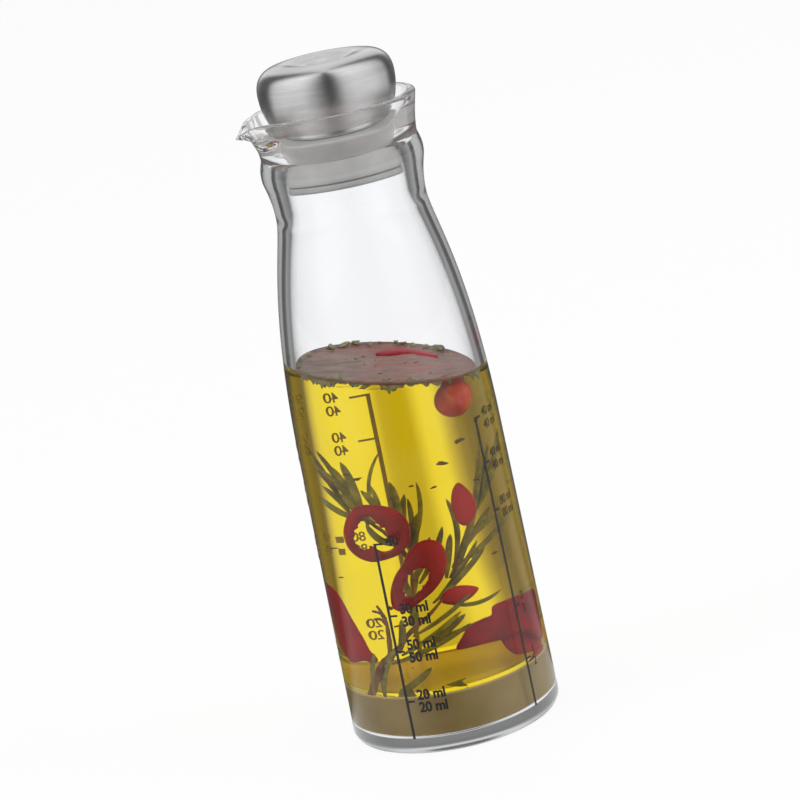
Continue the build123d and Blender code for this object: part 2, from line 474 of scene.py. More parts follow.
class Nodes:
    """The nodes of a material, the world or a group, at hand."""

    def __init__(self, tree):
        self.nodes, self.links = tree.nodes, tree.links

    def node(self, kind, inputs=None, **settings):
        made = self.nodes.new("ShaderNode" + kind)
        for name, value in settings.items():
            setattr(made, name, value)
        for name, value in (inputs or {}).items():
            self.feed(made.inputs[name], value)
        return made

    def feed(self, socket, value):
        """Links a socket to another, or sets its value. One number stands for a grey."""
        if isinstance(value, bpy.types.NodeSocket):
            self.links.new(value, socket)
        elif socket.type == "RGBA":
            socket.default_value = (*value, 1) if isinstance(value, tuple) else (value, value, value, 1)
        else:
            socket.default_value = value

    def maths(self, operation, *values):
        return self.node("Math", dict(enumerate(values)), operation=operation).outputs[0]

    def axis(self, vector, name):
        return self.node("SeparateXYZ", {"Vector": vector}).outputs[name]

    def span(self, value, low, high, start=0.0, end=1.0):
        """A value that runs from start to end, spread from low to high."""
        spread = {"Value": value, "From Min": start, "From Max": end, "To Min": low, "To Max": high}
        return self.node("MapRange", spread).outputs["Result"]

    def between(self, value, *stops):
        """A colour ramp of (place, colour) stops, driven by a value."""
        ramp = self.node("ValToRGB", {"Fac": value})
        while len(ramp.color_ramp.elements) < len(stops):
            ramp.color_ramp.elements.new(0.5)
        for element, (place, colour) in zip(ramp.color_ramp.elements, stops):
            element.position = place
            element.color = (*colour, 1.0)
        return ramp.outputs["Color"]

    def chosen(self, factor, first, second):
        """The second colour where the factor is one, and the first elsewhere."""
        made = self.node("Mix", {"Factor": factor}, data_type="RGBA")
        self.feed(made.inputs[6], first)
        self.feed(made.inputs[7], second)
        return made.outputs[2]

    def caught(self, path):
        """One for light that was mirrored more than once, as inside a glass wall."""
        return self.maths("GREATER_THAN", path["Glossy Depth"], 1.5)

    def looks_through(self, path):
        """One for light that was caught in the glass or that passes through it."""
        return self.maths("MAXIMUM", self.caught(path), path["Is Transmission Ray"])


class Finish(Nodes):
    """A material with its nodes at hand."""

    def __init__(self, name):
        self.material = bpy.data.materials.new(name)
        self.material.use_nodes = True
        super().__init__(self.material.node_tree)
        self.shader = self.nodes["Principled BSDF"]
        self.output = self.nodes["Material Output"]

    def set(self, **values):
        for name, value in values.items():
            self.shader.inputs[name.replace("_", " ")].default_value = value
        return self

    def drive(self, socket, source):
        self.links.new(source, self.shader.inputs[socket])
        return self

    def place(self):
        return self.node("TexCoord").outputs["Object"]

    def facing(self):
        return self.node("NewGeometry").outputs["Normal"]

    def speckle(self, scale, detail=3.0, rough=0.55, vector=None, distortion=0.0):
        """A noise value over the surface."""
        noise_inputs = {"Vector": vector or self.place(), "Scale": scale, "Detail": detail}
        noise_inputs |= {"Roughness": rough, "Distortion": distortion}
        return self.node("TexNoise", noise_inputs).outputs["Fac"]

    def bump(self, height, strength, distance):
        made = self.node("Bump", {"Height": height, "Strength": strength, "Distance": distance})
        return self.drive("Normal", made.outputs["Normal"])

    def round_the_axis(self, around, upward):
        """A coordinate that runs round the bottle's axis, for brushing and turning marks."""
        place = self.node("SeparateXYZ", {"Vector": self.place()}).outputs
        angle = self.maths("ARCTAN2", place["X"], self.maths("MULTIPLY", place["Y"], -1.0))
        flat = self.node("CombineXYZ", {"X": place["X"], "Y": place["Y"]}).outputs[0]
        radius = self.node("VectorMath", {0: flat}, operation="LENGTH").outputs["Value"]
        parts = {
            "X": self.maths("MULTIPLY", angle, around),
            "Y": self.maths("MULTIPLY", radius, upward),
            "Z": self.maths("MULTIPLY", place["Z"], upward),
        }
        return self.node("CombineXYZ", parts).outputs[0]

    def lets_lamps_through(self, tint):
        """Lamps light what is behind this glass or liquid, and light caught inside it goes straight out."""
        path = self.node("LightPath").outputs
        self.drive("IOR", self.span(self.caught(path), self.shader.inputs["IOR"].default_value, 1.0))
        clear = self.node("BsdfTransparent", {"Color": tint}).outputs[0]
        mix = self.node("MixShader", {"Fac": path["Is Shadow Ray"], 1: self.shader.outputs[0], 2: clear})
        self.links.new(mix.outputs[0], self.output.inputs["Surface"])
        return self

    def soaks_up(self, colour, density):
        made = self.node("VolumeAbsorption", {"Color": colour, "Density": density})
        self.links.new(made.outputs[0], self.output.inputs["Volume"])
        return self


def shaded(colour, *shares):
    """A colour made darker or lighter, by one share or by a share for each of its parts."""
    shares = shares if len(shares) > 1 else shares * 3
    return tuple(min(c * share, 1) for c, share in zip(colour, shares))


def grained(name, grain, stops, gloss, grit, **values):
    """A finish from noise alone: its grain and colours, its roughness as (scale, low, high), and its bumps as
    (grain, strength, depth)."""
    made = Finish(name).set(**values)
    made.drive("Base Color", made.between(made.speckle(*grain), *stops))
    made.drive("Roughness", made.span(made.speckle(gloss[0]), *gloss[1:]))
    return made.bump(made.speckle(*grit[0]), *grit[1:]).material


def clear_glass_finish():
    made = Finish("clear pressed glass")
    made.set(Base_Color=(0.995, 0.998, 0.998, 1), Roughness=0.0, IOR=1.5, Transmission_Weight=1.0)
    made.set(Specular_Tint=(0.45, 0.45, 0.46, 1))
    made.bump(made.speckle(34.0, 2.0, 0.4), 0.05, 0.0006)
    made.soaks_up((0.66, 0.69, 0.7), 11.0)
    return made.lets_lamps_through((0.96, 0.97, 0.97)).material


def oil_finish():
    made = Finish("olive oil")
    made.set(Base_Color=(1, 0.98, 0.85, 1), Roughness=0.0, IOR=1.47, Transmission_Weight=1.0)
    made.set(Specular_Tint=(0.4, 0.4, 0.4, 1))
    made.bump(made.speckle(20.0, 2.0, 0.4), 0.05, 0.0006)
    made.soaks_up((0.985, 0.926, 0.0), 75.0)
    return made.lets_lamps_through((0.99, 0.95, 0.7)).material


def brushed_steel_finish():
    made = Finish("brushed steel").set(Metallic=1.0, Anisotropic=1.0, Anisotropic_Rotation=0.25)
    steel = colours().steel
    vector = made.round_the_axis(0.0016, 1.0)
    streaks = made.speckle(2600.0, 4.0, 0.7, vector)
    shade = made.maths("MULTIPLY_ADD", streaks, made.speckle(420.0, 2.0, 0.5, vector), 0.25)
    made.drive("Base Color", made.between(shade, (0.3, shaded(steel, 0.8)), (0.75, shaded(steel, 1.14))))
    polish = made.span(made.axis(made.facing(), "Z"), 1.0, 0.42, 0.2, 0.85)
    made.drive("Roughness", made.maths("MULTIPLY", made.span(streaks, 0.34, 0.44), polish))
    made.drive("Tangent", made.node("Tangent", direction_type="RADIAL", axis="Z").outputs[0])
    return made.bump(streaks, 0.2, 0.00004).material


def silicone_finish(name, colour):
    stops = (0.3, shaded(colour, 0.92)), (0.7, shaded(colour, 1.06))
    soft = {"Subsurface_Weight": 0.25, "Subsurface_Scale": 0.002, "IOR": 1.41, "Specular_IOR_Level": 1.0}
    return grained(name, (180.0, 4.0, 0.6), stops, (900.0, 0.36, 0.5), ((2400.0,), 0.1, 0.00003), **soft)


def core_plastic_finish():
    made = Finish("satin core plastic")
    vector = made.round_the_axis(0.003, 1.0)
    grain = made.speckle(300.0, 3.0, 0.5, vector)
    made.drive("Base Color", made.between(grain, (0.3, (0.44, 0.44, 0.43)), (0.7, (0.56, 0.56, 0.55))))
    made.drive("Roughness", made.span(made.speckle(1200.0, 3.0, 0.6, vector), 0.22, 0.34))
    return made.bump(made.speckle(1500.0, 3.0, 0.6, vector), 0.08, 0.00003).material


def vinegar_finish():
    made = Finish("cloudy vinegar").set(
        IOR=1.34, Specular_IOR_Level=0.2, Subsurface_Weight=0.2, Subsurface_Scale=0.004
    )
    clouds = (0.3, (0.27, 0.19, 0.065)), (0.5, (0.35, 0.26, 0.11)), (0.7, (0.43, 0.33, 0.16))
    cloudy = made.between(made.speckle(34.0, 3.0, 0.5), *clouds)
    # The top face is painted a light amber: painted light, where light falls on it from above through the oil; the
    # sides keep the cloudy colours.
    made.drive("Base Color", made.chosen(made.axis(made.facing(), "Z"), cloudy, (0.8, 0.62, 0.2)))
    made.drive("Roughness", made.span(made.speckle(60.0), 0.1, 0.25))
    return made.bump(made.speckle(90.0, 2.0, 0.5), 0.05, 0.0004).material


def surface_film_finish():
    made = Finish("oil and chilli film").set(IOR=1.4, Specular_IOR_Level=0.25)
    place = made.place()
    stretch = {"Vector": place, "Scale": (0.4, 1.5, 1.0), "Rotation": (0, 0, sizes().view_azimuth)}
    drawn = made.node("Mapping", stretch).outputs[0]
    swirl = made.maths("MULTIPLY", made.speckle(120.0, 6.0, 0.62, drawn, 1.1), 0.62)
    shade = made.maths("MULTIPLY_ADD", made.speckle(30.0, 3.0, 0.5, place, 0.8), 0.38, swirl)
    browns = (0.34, (0.16, 0.115, 0.065)), (0.44, (0.24, 0.15, 0.115)), (0.5, (0.33, 0.215, 0.175))
    reds = (0.56, (0.37, 0.13, 0.115)), (0.64, (0.26, 0.19, 0.12))
    made.drive("Base Color", made.between(shade, *browns, *reds))
    made.drive("Roughness", made.span(made.speckle(500.0, 3.0), 0.3, 0.5))
    return made.bump(made.speckle(200.0, 5.0, 0.6, drawn, 0.6), 0.4, 0.0005).material


def pepper_finish(name, light=1.0):
    skin = colours().pepper
    deep, even = shaded(skin, 0.5 * light), shaded(skin, light)
    bright = shaded(skin, 1.4 * light, 2.2 * light, 1.3 * light)
    soft = {"Subsurface_Weight": 0.15, "Subsurface_Scale": 0.002, "Specular_IOR_Level": 0.2}
    stops = (0.3, deep), (0.55, even), (0.75, bright)
    return grained(name, (70.0, 5.0, 0.6), stops, (700.0, 0.22, 0.4), ((420.0, 4.0, 0.6), 0.25, 0.0003), **soft)


def tomato_finish():
    stops = (0.3, (0.5, 0.02, 0.02)), (0.6, (0.72, 0.06, 0.02)), (0.8, (0.85, 0.22, 0.05))
    soft = {"Subsurface_Weight": 0.3, "Subsurface_Scale": 0.003, "Coat_Weight": 0.5, "Coat_Roughness": 0.08}
    grit = (320.0, 3.0), 0.08, 0.0002
    return grained("cherry tomato skin", (150.0, 3.0, 0.5), stops, (500.0, 0.16, 0.28), grit, **soft)


def needle_finish():
    leaf = colours().needle
    stops = (0.28, shaded(leaf, 0.5)), (0.5, tuple(leaf)), (0.75, shaded(leaf, 2.1, 1.9, 1.6))
    soft = {"Subsurface_Weight": 0.1, "Subsurface_Scale": 0.001}
    grit = (1100.0, 4.0, 0.6), 0.35, 0.00015
    return grained("rosemary needle", (210.0, 4.0, 0.65), stops, (900.0, 0.4, 0.62), grit, **soft)


def twig_finish():
    stops = (0.3, (0.16, 0.05, 0.025)), (0.5, (0.3, 0.12, 0.06)), (0.72, (0.2, 0.15, 0.05))
    grit = (900.0, 5.0, 0.7), 0.5, 0.0003
    return grained("rosemary twig", (260.0, 5.0, 0.65), stops, (700.0, 0.5, 0.75), grit)


def crumb_finish():
    stops = (0.3, (0.15, 0.13, 0.06)), (0.5, (0.31, 0.29, 0.15)), (0.7, (0.44, 0.38, 0.24))
    grit = (1400.0, 4.0, 0.7), 0.5, 0.0003
    return grained("dried herb crumb", (300.0, 4.0, 0.65), stops, (900.0, 0.5, 0.75), grit)


def seed_finish():
    stops = (0.3, (0.1, 0.045, 0.015)), (0.7, (0.26, 0.14, 0.05))
    return grained("spice seed", (500.0, 4.0), stops, (900.0, 0.35, 0.6), ((1500.0, 3.0), 0.4, 0.0002))


def ink_finish():
    """Ink that is dark from outside. Where its back is seen through the oil, it is painted a light brown: painted
    light, as light shining through the thin print.
    """
    made = Finish("printed ink")
    ink = colours().ink
    printed = made.between(made.speckle(1500.0, 4.0), (0.3, shaded(ink, 0.7)), (0.7, shaded(ink, 1.6)))
    outward = made.node("VectorMath", {0: made.facing(), 1: made.place()}, operation="DOT_PRODUCT").outputs["Value"]
    # The back faces, seen from inside through the oil, are painted a light brown: painted light shining through the
    # ink.
    made.drive("Base Color", made.chosen(made.maths("LESS_THAN", outward, 0.0), printed, (0.5, 0.38, 0.1)))
    made.drive("Roughness", made.span(made.speckle(2200.0, 3.0), 0.4, 0.6))
    return made.bump(made.speckle(3000.0, 3.0), 0.15, 0.00001).material


# ---------------------------------------------------------------- stage


# How bright the studio is in each direction, in degrees from straight behind the bottle: as it is seen through the
# dressing, through the empty glass above it, after a turn inside the glass wall, and as steel and glass mirror it.
THROUGH_OIL = (
    (-180, 0.4), (-150, 0.7), (-118, 0.8), (-100, 0.5), (-90, 0.3), (-76, 0.12), (-66, 0.2), (-58, 0.32), (-50, 0.2),
    (-38, 0.2), (-32, 0.12), (-27, 0.17), (-21, 0.28), (-17, 0.55), (-13, 0.97), (-8, 0.97), (-4, 0.62), (4, 0.6),
    (8, 0.97), (24, 1.0), (33, 0.9), (37, 0.6), (41, 0.12), (48, 0.16), (55, 0.22), (66, 0.1), (78, 0.12), (90, 0.5),
    (118, 0.8), (150, 0.7), (180, 0.4),
)
THROUGH_GLASS = (
    (-180, 0.95), (-125, 0.9), (-104, 0.7), (-90, 0.4), (-60, 0.35), (-40, 0.5), (-30, 0.85), (-22, 1.0), (0, 1.0),
    (22, 1.0), (30, 0.95), (40, 0.5), (60, 0.35), (90, 0.4), (104, 0.7), (125, 0.9), (180, 0.95),
)
INSIDE_WALL = (
    (-180, 0.04), (-168, 0.25), (-150, 0.65), (-136, 0.95), (-116, 1.0), (-100, 0.1), (-80, 0.4), (-60, 0.12),
    (-38, 0.32), (-33, 0.09), (-24, 0.07), (-19, 0.5), (0, 0.6), (19, 0.5), (24, 0.07), (33, 0.09), (38, 0.32),
    (60, 0.12), (80, 0.4), (100, 0.1), (116, 1.0), (135, 1.0), (150, 0.75), (160, 0.3), (168, 0.03), (180, 0.04),
)
MIRRORED = (
    (-180, 0.04), (-168, 0.25), (-150, 0.65), (-136, 0.95), (-100, 1.0), (-76, 0.95), (-62, 0.1), (-30, 0.08),
    (-18, 0.7), (0, 0.75), (18, 0.7), (30, 0.08), (50, 0.1), (60, 0.7), (74, 0.75), (92, 1.0), (130, 1.0),
    (150, 0.75), (160, 0.3), (168, 0.03), (174, 0.04), (180, 0.04),
)
# How bright the floor is under the foot, by its distance from the axis in metres: a painted contact shadow, with rings
# of painted shade and light that show in the heel
UNDER_THE_FOOT = (
    (0.0, 0.22), (0.0017, 0.25), (0.0021, 0.17), (0.0026, 0.4), (0.0032, 0.8), (0.0038, 0.72), (0.0043, 0.22),
    (0.0048, 0.06), (0.0053, 0.5), (0.006, 0.3), (0.0073, 0.06), (0.009, 0.6), (0.015, 0.3), (0.02, 0.6),
    (0.028, 0.3), (0.034, 0.6), (0.042, 0.7),
)
# As the floor shows itself in steel and glass: the same, but dark straight behind the bottle
FLOOR_MIRRORED = tuple((degrees, 0.08 if abs(degrees) <= 50 else level) for degrees, level in MIRRORED)

# How near the axis the floor counts as under the foot, and how far away it counts as the studio's wall
FOOT_REACH, WALL_REACH = (0.045, 0.06), (0.42, 0.52)
# Where the dark line behind the bottle is mirrored, as the height of a direction, and how bright it is
HORIZON, HORIZON_LEVEL = (0.04, 0.16), 0.12
# How bright the world lights surfaces, and how much the floor glows by itself to the camera and to mirrored light
AMBIENT, FLOOR_GLOW, FLOOR_MIRROR_GLOW = 0.62, 0.92, 0.98
# The floor's first ring in metres, how much wider each next one is, and how many there are
FLOOR_RING, FLOOR_GROWTH, FLOOR_RINGS = 0.12, 1.18, 22
# How warm the dark parts of the surround are through the oil and elsewhere
OIL_WARMTH, PLAIN = 0.8, 1.0


def surround_group():
    """The studio's surround in each direction: what is seen through the bottle, and what walls and floor mirror."""
    group = bpy.data.node_groups.new("studio surround", "ShaderNodeTree")
    group.interface.new_socket("Direction", in_out="INPUT", socket_type="NodeSocketVector")
    made = Nodes(group)
    start, end = made.nodes.new("NodeGroupInput"), made.nodes.new("NodeGroupOutput")
    aim = {"Vector": start.outputs[0], "Angle": -sizes().view_azimuth}
    turned_aim = made.node("VectorRotate", aim, rotation_type="Z_AXIS").outputs[0]
    angle = made.maths("ARCTAN2", made.axis(turned_aim, "X"), made.axis(turned_aim, "Y"))
    share = made.maths("MULTIPLY_ADD", angle, 0.5 / math.pi, 0.5)
    distance = made.node("VectorMath", {0: start.outputs[0]}, operation="LENGTH").outputs["Value"]

    def ramp(stops, warm=PLAIN):
        tinted = []
        for degrees, level in stops:
            green, blue = along(warm, 1, level), along(2 - 1 / warm, 1.02, level)
            tinted.append((0.5 + degrees / 360, (level, level * green, level * blue)))
        return made.between(share, *tinted)

    # Under the foot the floor shows the painted contact shadow with its painted rings of shade and light
    under = made.between(distance, *[(away * 10, (level,) * 3) for away, level in UNDER_THE_FOOT])
    turned_back = made.maths("GREATER_THAN", made.node("LightPath").outputs["Glossy Depth"], 0.5)
    clear = made.chosen(turned_back, ramp(THROUGH_GLASS), ramp(INSIDE_WALL))
    through_it = made.chosen(made.span(distance, 0.0, 1.0, *WALL_REACH), ramp(THROUGH_OIL, OIL_WARMTH), clear)
    through_it = made.chosen(made.span(distance, 0.0, 1.0, *FOOT_REACH), under, through_it)
    for name, level in (("Through", through_it), ("Wall", ramp(MIRRORED)), ("Floor", ramp(FLOOR_MIRRORED))):
        group.interface.new_socket(name, in_out="OUTPUT", socket_type="NodeSocketColor")
        made.links.new(level, end.inputs[name])
    return group


def build_world(group):
    """White for the camera, soft light for surfaces, and the surround for what is mirrored or seen through glass."""
    world = bpy.data.worlds.new("soft studio")
    world.use_nodes = True
    made = Nodes(world.node_tree)
    path = made.node("LightPath").outputs
    direction = made.node("TexCoord").outputs["Generated"]
    surround = made.node("Group", {0: direction}, node_tree=group).outputs
    above = made.span(made.axis(direction, "Z"), 0.0, 1.0, *HORIZON)
    shade = made.chosen(path["Is Glossy Ray"], AMBIENT, made.chosen(above, HORIZON_LEVEL, surround["Wall"]))
    shade = made.chosen(made.looks_through(path), shade, surround["Through"])
    shade = made.chosen(path["Is Camera Ray"], shade, 1.0)
    made.links.new(shade, made.nodes["Background"].inputs["Color"])
    bpy.context.scene.world = world


def floor_finish(group):
    """A pale floor that glows towards the camera, and shows the surround where it is mirrored or seen through glass."""
    made = Finish("pale floor").set(Roughness=0.9, Specular_IOR_Level=0.1)
    made.drive("Base Color", made.between(made.speckle(40.0, 3.0), (0.3, (0.94,) * 3), (0.7, (0.96,) * 3)))
    path = made.node("LightPath").outputs
    place = made.node("NewGeometry").outputs["Position"]
    surround = made.node("Group", {0: place}, node_tree=group).outputs
    shade = made.chosen(path["Is Glossy Ray"], 1.0, surround["Floor"])
    shade = made.chosen(made.looks_through(path), shade, surround["Through"])
    glow = made.node("Emission", {"Color": shade, "Strength": 1.0}).outputs[0]
    shown = made.maths("MAXIMUM", path["Is Glossy Ray"], path["Is Transmission Ray"])
    shown = made.maths("MULTIPLY", shown, FLOOR_MIRROR_GLOW)
    amount = made.maths("MULTIPLY_ADD", path["Is Camera Ray"], FLOOR_GLOW, shown)
    mix = made.node("MixShader", {"Fac": amount, 1: made.shader.outputs[0], 2: glow})
    made.links.new(mix.outputs[0], made.output.inputs["Surface"])
    return made.material


def build_floor(group):
    """A round floor in ever wider rings, under the foot and far out past the picture."""
    count, rings = 96, [FLOOR_RING * FLOOR_GROWTH**i for i in range(FLOOR_RINGS)]
    turns = [part_turn(k, count) for k in range(count)]
    points = [(0, 0, 0)] + [(r * math.cos(turn), r * math.sin(turn), 0) for r in rings for turn in turns]
    faces = [(0, 1 + k, 1 + (k + 1) % count) for k in range(count)]
    join_rings(faces, 1, len(rings), count)
    mesh = bpy.data.meshes.new("floor")
    mesh.from_pydata(points, [], faces)
    mesh.materials.append(floor_finish(group))
    floor = bpy.data.objects.new("floor", mesh)
    bpy.context.scene.collection.objects.link(floor)


# Lamps: how far right of the camera's side, towards it and up they stand, how wide and how strong they are
LAMPS = {
    "key lamp": (-1.15, 0.45, 0.95, 0.7, 6.4),
    "fill lamp": (1.2, 0.45, 0.8, 0.7, 6.2),
    "top lamp": (0.1, -0.8, 1.2, 0.8, 1.4),
}
# The lamps look at this height. The camera's distance from the axis and height, in metres, and where it looks: a little
# past the axis and down, in degrees
LAMP_AIM = 0.11
CAMERA_AWAY, CAMERA_HEIGHT = 1.0449, 0.370
CAMERA_TURN, CAMERA_DIP = 0.14, 14.1


def place_lamp(name, across, toward, up, size, power):
    """A round soft lamp, placed in metres, that lights surfaces but isn't seen in steel or through glass."""
    lamp = bpy.data.lights.new(name, "AREA")
    lamp.shape = "DISK"
    lamp.size = size
    lamp.energy = power
    made = bpy.data.objects.new(name, lamp)
    made.location = seen(across / MM, toward / MM, up / MM)
    aim = Vector((0, 0, LAMP_AIM)) - made.location
    made.rotation_euler = aim.to_track_quat("-Z", "Y").to_euler()
    made.visible_glossy = False
    made.visible_transmission = False
    bpy.context.scene.collection.objects.link(made)


def place_camera():
    camera = bpy.data.cameras.new("camera")
    camera.lens = 152.3
    camera.sensor_width = 36.0
    camera.clip_start = 0.02
    made = bpy.data.objects.new("camera", camera)
    azimuth = sizes().view_azimuth
    place = Matrix.Translation((CAMERA_AWAY * math.sin(azimuth), -CAMERA_AWAY * math.cos(azimuth), CAMERA_HEIGHT))
    around = Matrix.Rotation(azimuth - math.radians(CAMERA_TURN), 4, "Z")
    down = Matrix.Rotation(math.radians(90 - CAMERA_DIP), 4, "X")
    made.matrix_world = place @ (around @ down) @ Matrix.Rotation(-sizes().view_lean, 4, "Z")
    bpy.context.scene.collection.objects.link(made)
    bpy.context.scene.camera = made


# ---------------------------------------------------------------- the bottle's own pieces


def build_glass():
    """The whole glass: foot with its punt, heel, side, shoulder, bead, flared collar with the beak, and the hollow."""
    turns = []
    # Close together at the beak, and wider apart away from it: start, step and count, in degrees
    for start, step, count in ((0, 0.3, 10), (3, 0.6, 15), (12, 1.2, 32), (50.4, 2.4, 54)):
        turns += [start + i * step for i in range(count)]
    turns += [180.0]
    turns += [360 - t for t in turns[-2:0:-1]]
    below = dome_line(FOOT_RING, 0.0, PUNT_RISE) + [p for p in GLASS_SIDE if p[1] < COLLAR_FOOT]
    within = floor_dome(0.0) + [p for p in GLASS_INSIDE if p[1] < COLLAR_FOOT]
    rows, columns = 31, []
    for degrees in turns:
        turn = math.radians(min(degrees, 360 - degrees))
        top = lip_height(turn)
        outer = glass_radius(turn, top - UNDER_RIM)
        inner = min(hollow_radius(turn, top - UNDER_RIM), outer - THINNEST_LIP)
        lip = min(LIP_ROUND, (outer - inner) * 0.49)
        rise = [along(COLLAR_FOOT, top - lip, i / rows) for i in range(rows)]
        outer, inner = glass_radius(turn, top - lip), hollow_radius(turn, top - lip)
        line = below + [(glass_radius(turn, height), height) for height in rise]
        line += arc((outer - lip, top - lip), lip, range(0, 91, 15))
        line += arc((inner + lip, top - lip), lip, range(90, 181, 15))
        line += [(hollow_radius(turn, height), height) for height in reversed(rise)] + within[::-1]
        columns.append([polar(r, math.pi + math.radians(degrees), z) for r, z in line])
    glass = new_piece("bottle_glass", lattice(columns, looped=False), clear_glass_finish(), "bottle")
    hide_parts("glass_bottle")


# The cap's outside as (radius, height): the middle of its dish, its crest, its widest place and its foot
CAP_DISH, CAP_CREST, CAP_BELT, CAP_FOOT = (0, 217.2), (13.0, 220.0), (21.75, 212.0), (18.1, 199.2)
CAP_SHELL = 0.8


def cap_line():
    """The steel shell: dish, crest, shoulder, side and rolled edge, then back up inside."""
    dish = pulled_curve(CAP_DISH, CAP_CREST, (1.9, 0), (1.6, 0), 22)
    shoulder = pulled_curve(CAP_BELT, CAP_CREST, (0, 0.6), (-0.78, 0), 26)
    side = pulled_curve(CAP_FOOT, CAP_BELT, (0.031, 0.078), (0, 0.6), 22)
    outside = [CAP_DISH] + dish + shoulder[-2::-1] + [CAP_BELT] + side[-2::-1]
    inside = []
    for before, point, after in zip(outside, outside[1:], outside[2:]):
        run = Vector(after) - Vector(before)
        normal = Vector((run.y, -run.x)).normalized()
        inside.append((point[0] + normal.x * CAP_SHELL, point[1] + normal.y * CAP_SHELL))
    inside = [p for p in inside if p[0] > 0.3 and p[1] > 199.6]
    hem = arc((17.15, 198.25), 0.95, range(45, -226, -18))
    return outside + hem + inside[::-1] + [(0, 216.4)]


def build_cap():
    shape = turned(cap_line(), 192, looped=False)
    cap = new_piece("steel_cap_shell", shape, brushed_steel_finish(), "stopper")
    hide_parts("steel_cap")


def build_core():
    """The hollow core that the cap closes, with its round-edged foot."""
    corners = [(0, 182.2), (18.0, 182.2), (18.0, 184.4), (15.2, 184.4), (15.2, 197.25), (16.0, 197.25), (16.0, 199.4)]
    corners += [(16.9, 199.4), (16.0, 200.9), (16.0, 203.0), (13.6, 203.0), (13.6, 183.8), (0, 183.8)]
    shape = turned(rounded(corners, 0.9, closed=False), 128, looped=False)
    core = new_piece("core_moulding", shape, core_plastic_finish(), "stopper")
    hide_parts("stopper_core")


def build_seals():
    """The silicone cone that seats in the mouth, and the sleeve that wipes the neck."""
    colour = tuple(colours().silicone)
    silicone = silicone_finish("frosted seat silicone", colour)
    cone = [(15.25, 190.1), (18.3, 190.1), (20.6, 196.6), (20.6, 197.25), (15.25, 197.25)]
    shape = turned(rounded(cone, 0.45), 128, looped=True)
    gasket = new_piece("seat_gasket_ring", shape, silicone, "stopper")
    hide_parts("seat_gasket")
    silicone = silicone_finish("frosted sleeve silicone", tuple(c * 1.05 for c in colour))
    sleeve = [(15.25, 184.45), (18.1, 184.45), (18.3, 184.95), (18.3, 185.65), (18.1, 186.15), (18.1, 190.05)]
    sleeve += [(15.25, 190.05)]
    shape = turned(rounded(sleeve, 0.25, 3), 128, looped=True)
    seal = new_piece("neck_seal_sleeve", shape, silicone, "stopper")
    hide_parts("neck_seal")


# ---------------------------------------------------------------- the dressing


def oil_level(x, y):
    """Height of the oil's top over a place given in metres, in millimetres."""
    azimuth = sizes().view_azimuth
    across = (x * math.cos(azimuth) + y * math.sin(azimuth)) / MM
    return sizes().oil_height / MM - across * math.tan(sizes().oil_lean)


def level_at(radius, angle):
    """Height of the oil's top at a radius in millimetres and an angle round the axis."""
    return oil_level(*polar(radius, angle)[:2])


def on_the_oil(radius, angle, lift=0.0):
    """A place on the oil's top in metres, or a little above it."""
    x, y, _ = polar(radius, angle)
    return Vector((x, y, (oil_level(x, y) + lift) * MM))


def surface_edge(angle, gap):
    """Where the top of the oil meets the glass in a direction round the axis, less a gap."""
    radius = read_line(GLASS_INSIDE, sizes().oil_height / MM)
    for _ in range(5):
        radius = read_line(GLASS_INSIDE, level_at(radius, angle))
    return radius - gap


# How far the liquids are pressed into the glass, how far the oil reaches down into the vinegar, and between which
# heights the vinegar's side goes over from its hair of air
PRESS, OVERLAP = 0.12, 0.05
AIR_END, PRESS_START = 5.6, 6.0


def build_liquids():
    """The oil on the vinegar, each pressed a hair into the glass so that light passes straight from one to the other.
    Under the vinegar a hair of air makes the heel gleam."""
    vinegar_top = sizes().vinegar_height / MM
    base = vinegar_top - OVERLAP
    wall = [(r + PRESS, z) for r, z in GLASS_INSIDE]
    edge = read_line(wall, vinegar_top)
    vinegar = floor_dome(-PRESS) + [(r - PRESS, z + PRESS) for r, z in GLASS_INSIDE if z < AIR_END]
    vinegar += [p for p in wall if PRESS_START < p[1] < base] + [(edge * i / 8, vinegar_top) for i in range(8, -1, -1)]
    new_piece("vinegar_layer", turned(vinegar, 160, looped=False), vinegar_finish(), "bottle")
    edge = read_line(wall, base)
    count, columns = 200, []
    for angle in (part_turn(i, count) for i in range(count)):
        rim = surface_edge(angle, 0) + PRESS
        level = level_at(rim, angle)
        line = [(edge * k / 8, base) for k in range(9)]
        for height in (along(base, level + 0.7, k / 40) for k in range(1, 41)):
            line.append((read_line(wall, height), height))
        line += [(rim - 0.5, level + 0.3), (rim - 1.1, level + 0.08)]
        top = [on_the_oil((rim - 2.0) * k / 9, angle) for k in range(9, -1, -1)]
        columns.append([polar(r, angle, z) for r, z in line] + top)
    new_piece("oil_body", lattice(columns, looped=False), oil_finish(), "bottle")


def build_film():
    """The pinkish skin of chilli and herbs that floats on the oil."""
    count, rings, columns = 180, 26, []
    for angle in (part_turn(i, count) for i in range(count)):
        reach = surface_edge(angle, 0.15)
        column = [on_the_oil(reach * share, angle, -0.4) for share in (0, 0.2, 0.4, 0.6, 0.8, 0.92, 1.0)]
        for k in range(rings, -1, -1):
            x, y = reach * k / rings * math.cos(angle), reach * k / rings * math.sin(angle)
            wave = ripple(x, y, 0.16, 3.1) * 0.35 + ripple(x, y, 0.5, 8.4) * 0.16
            climb = 0.7 * max(0, (k / rings - 0.92) / 0.08) ** 2
            height = oil_level(x * MM, y * MM) + 0.25 + wave * min(1, (rings - k) / 3) + climb
            column.append((x * MM, y * MM, height * MM))
        columns.append(column)
    new_piece("floating_film", lattice(columns, looped=False), surface_film_finish(), "bottle")


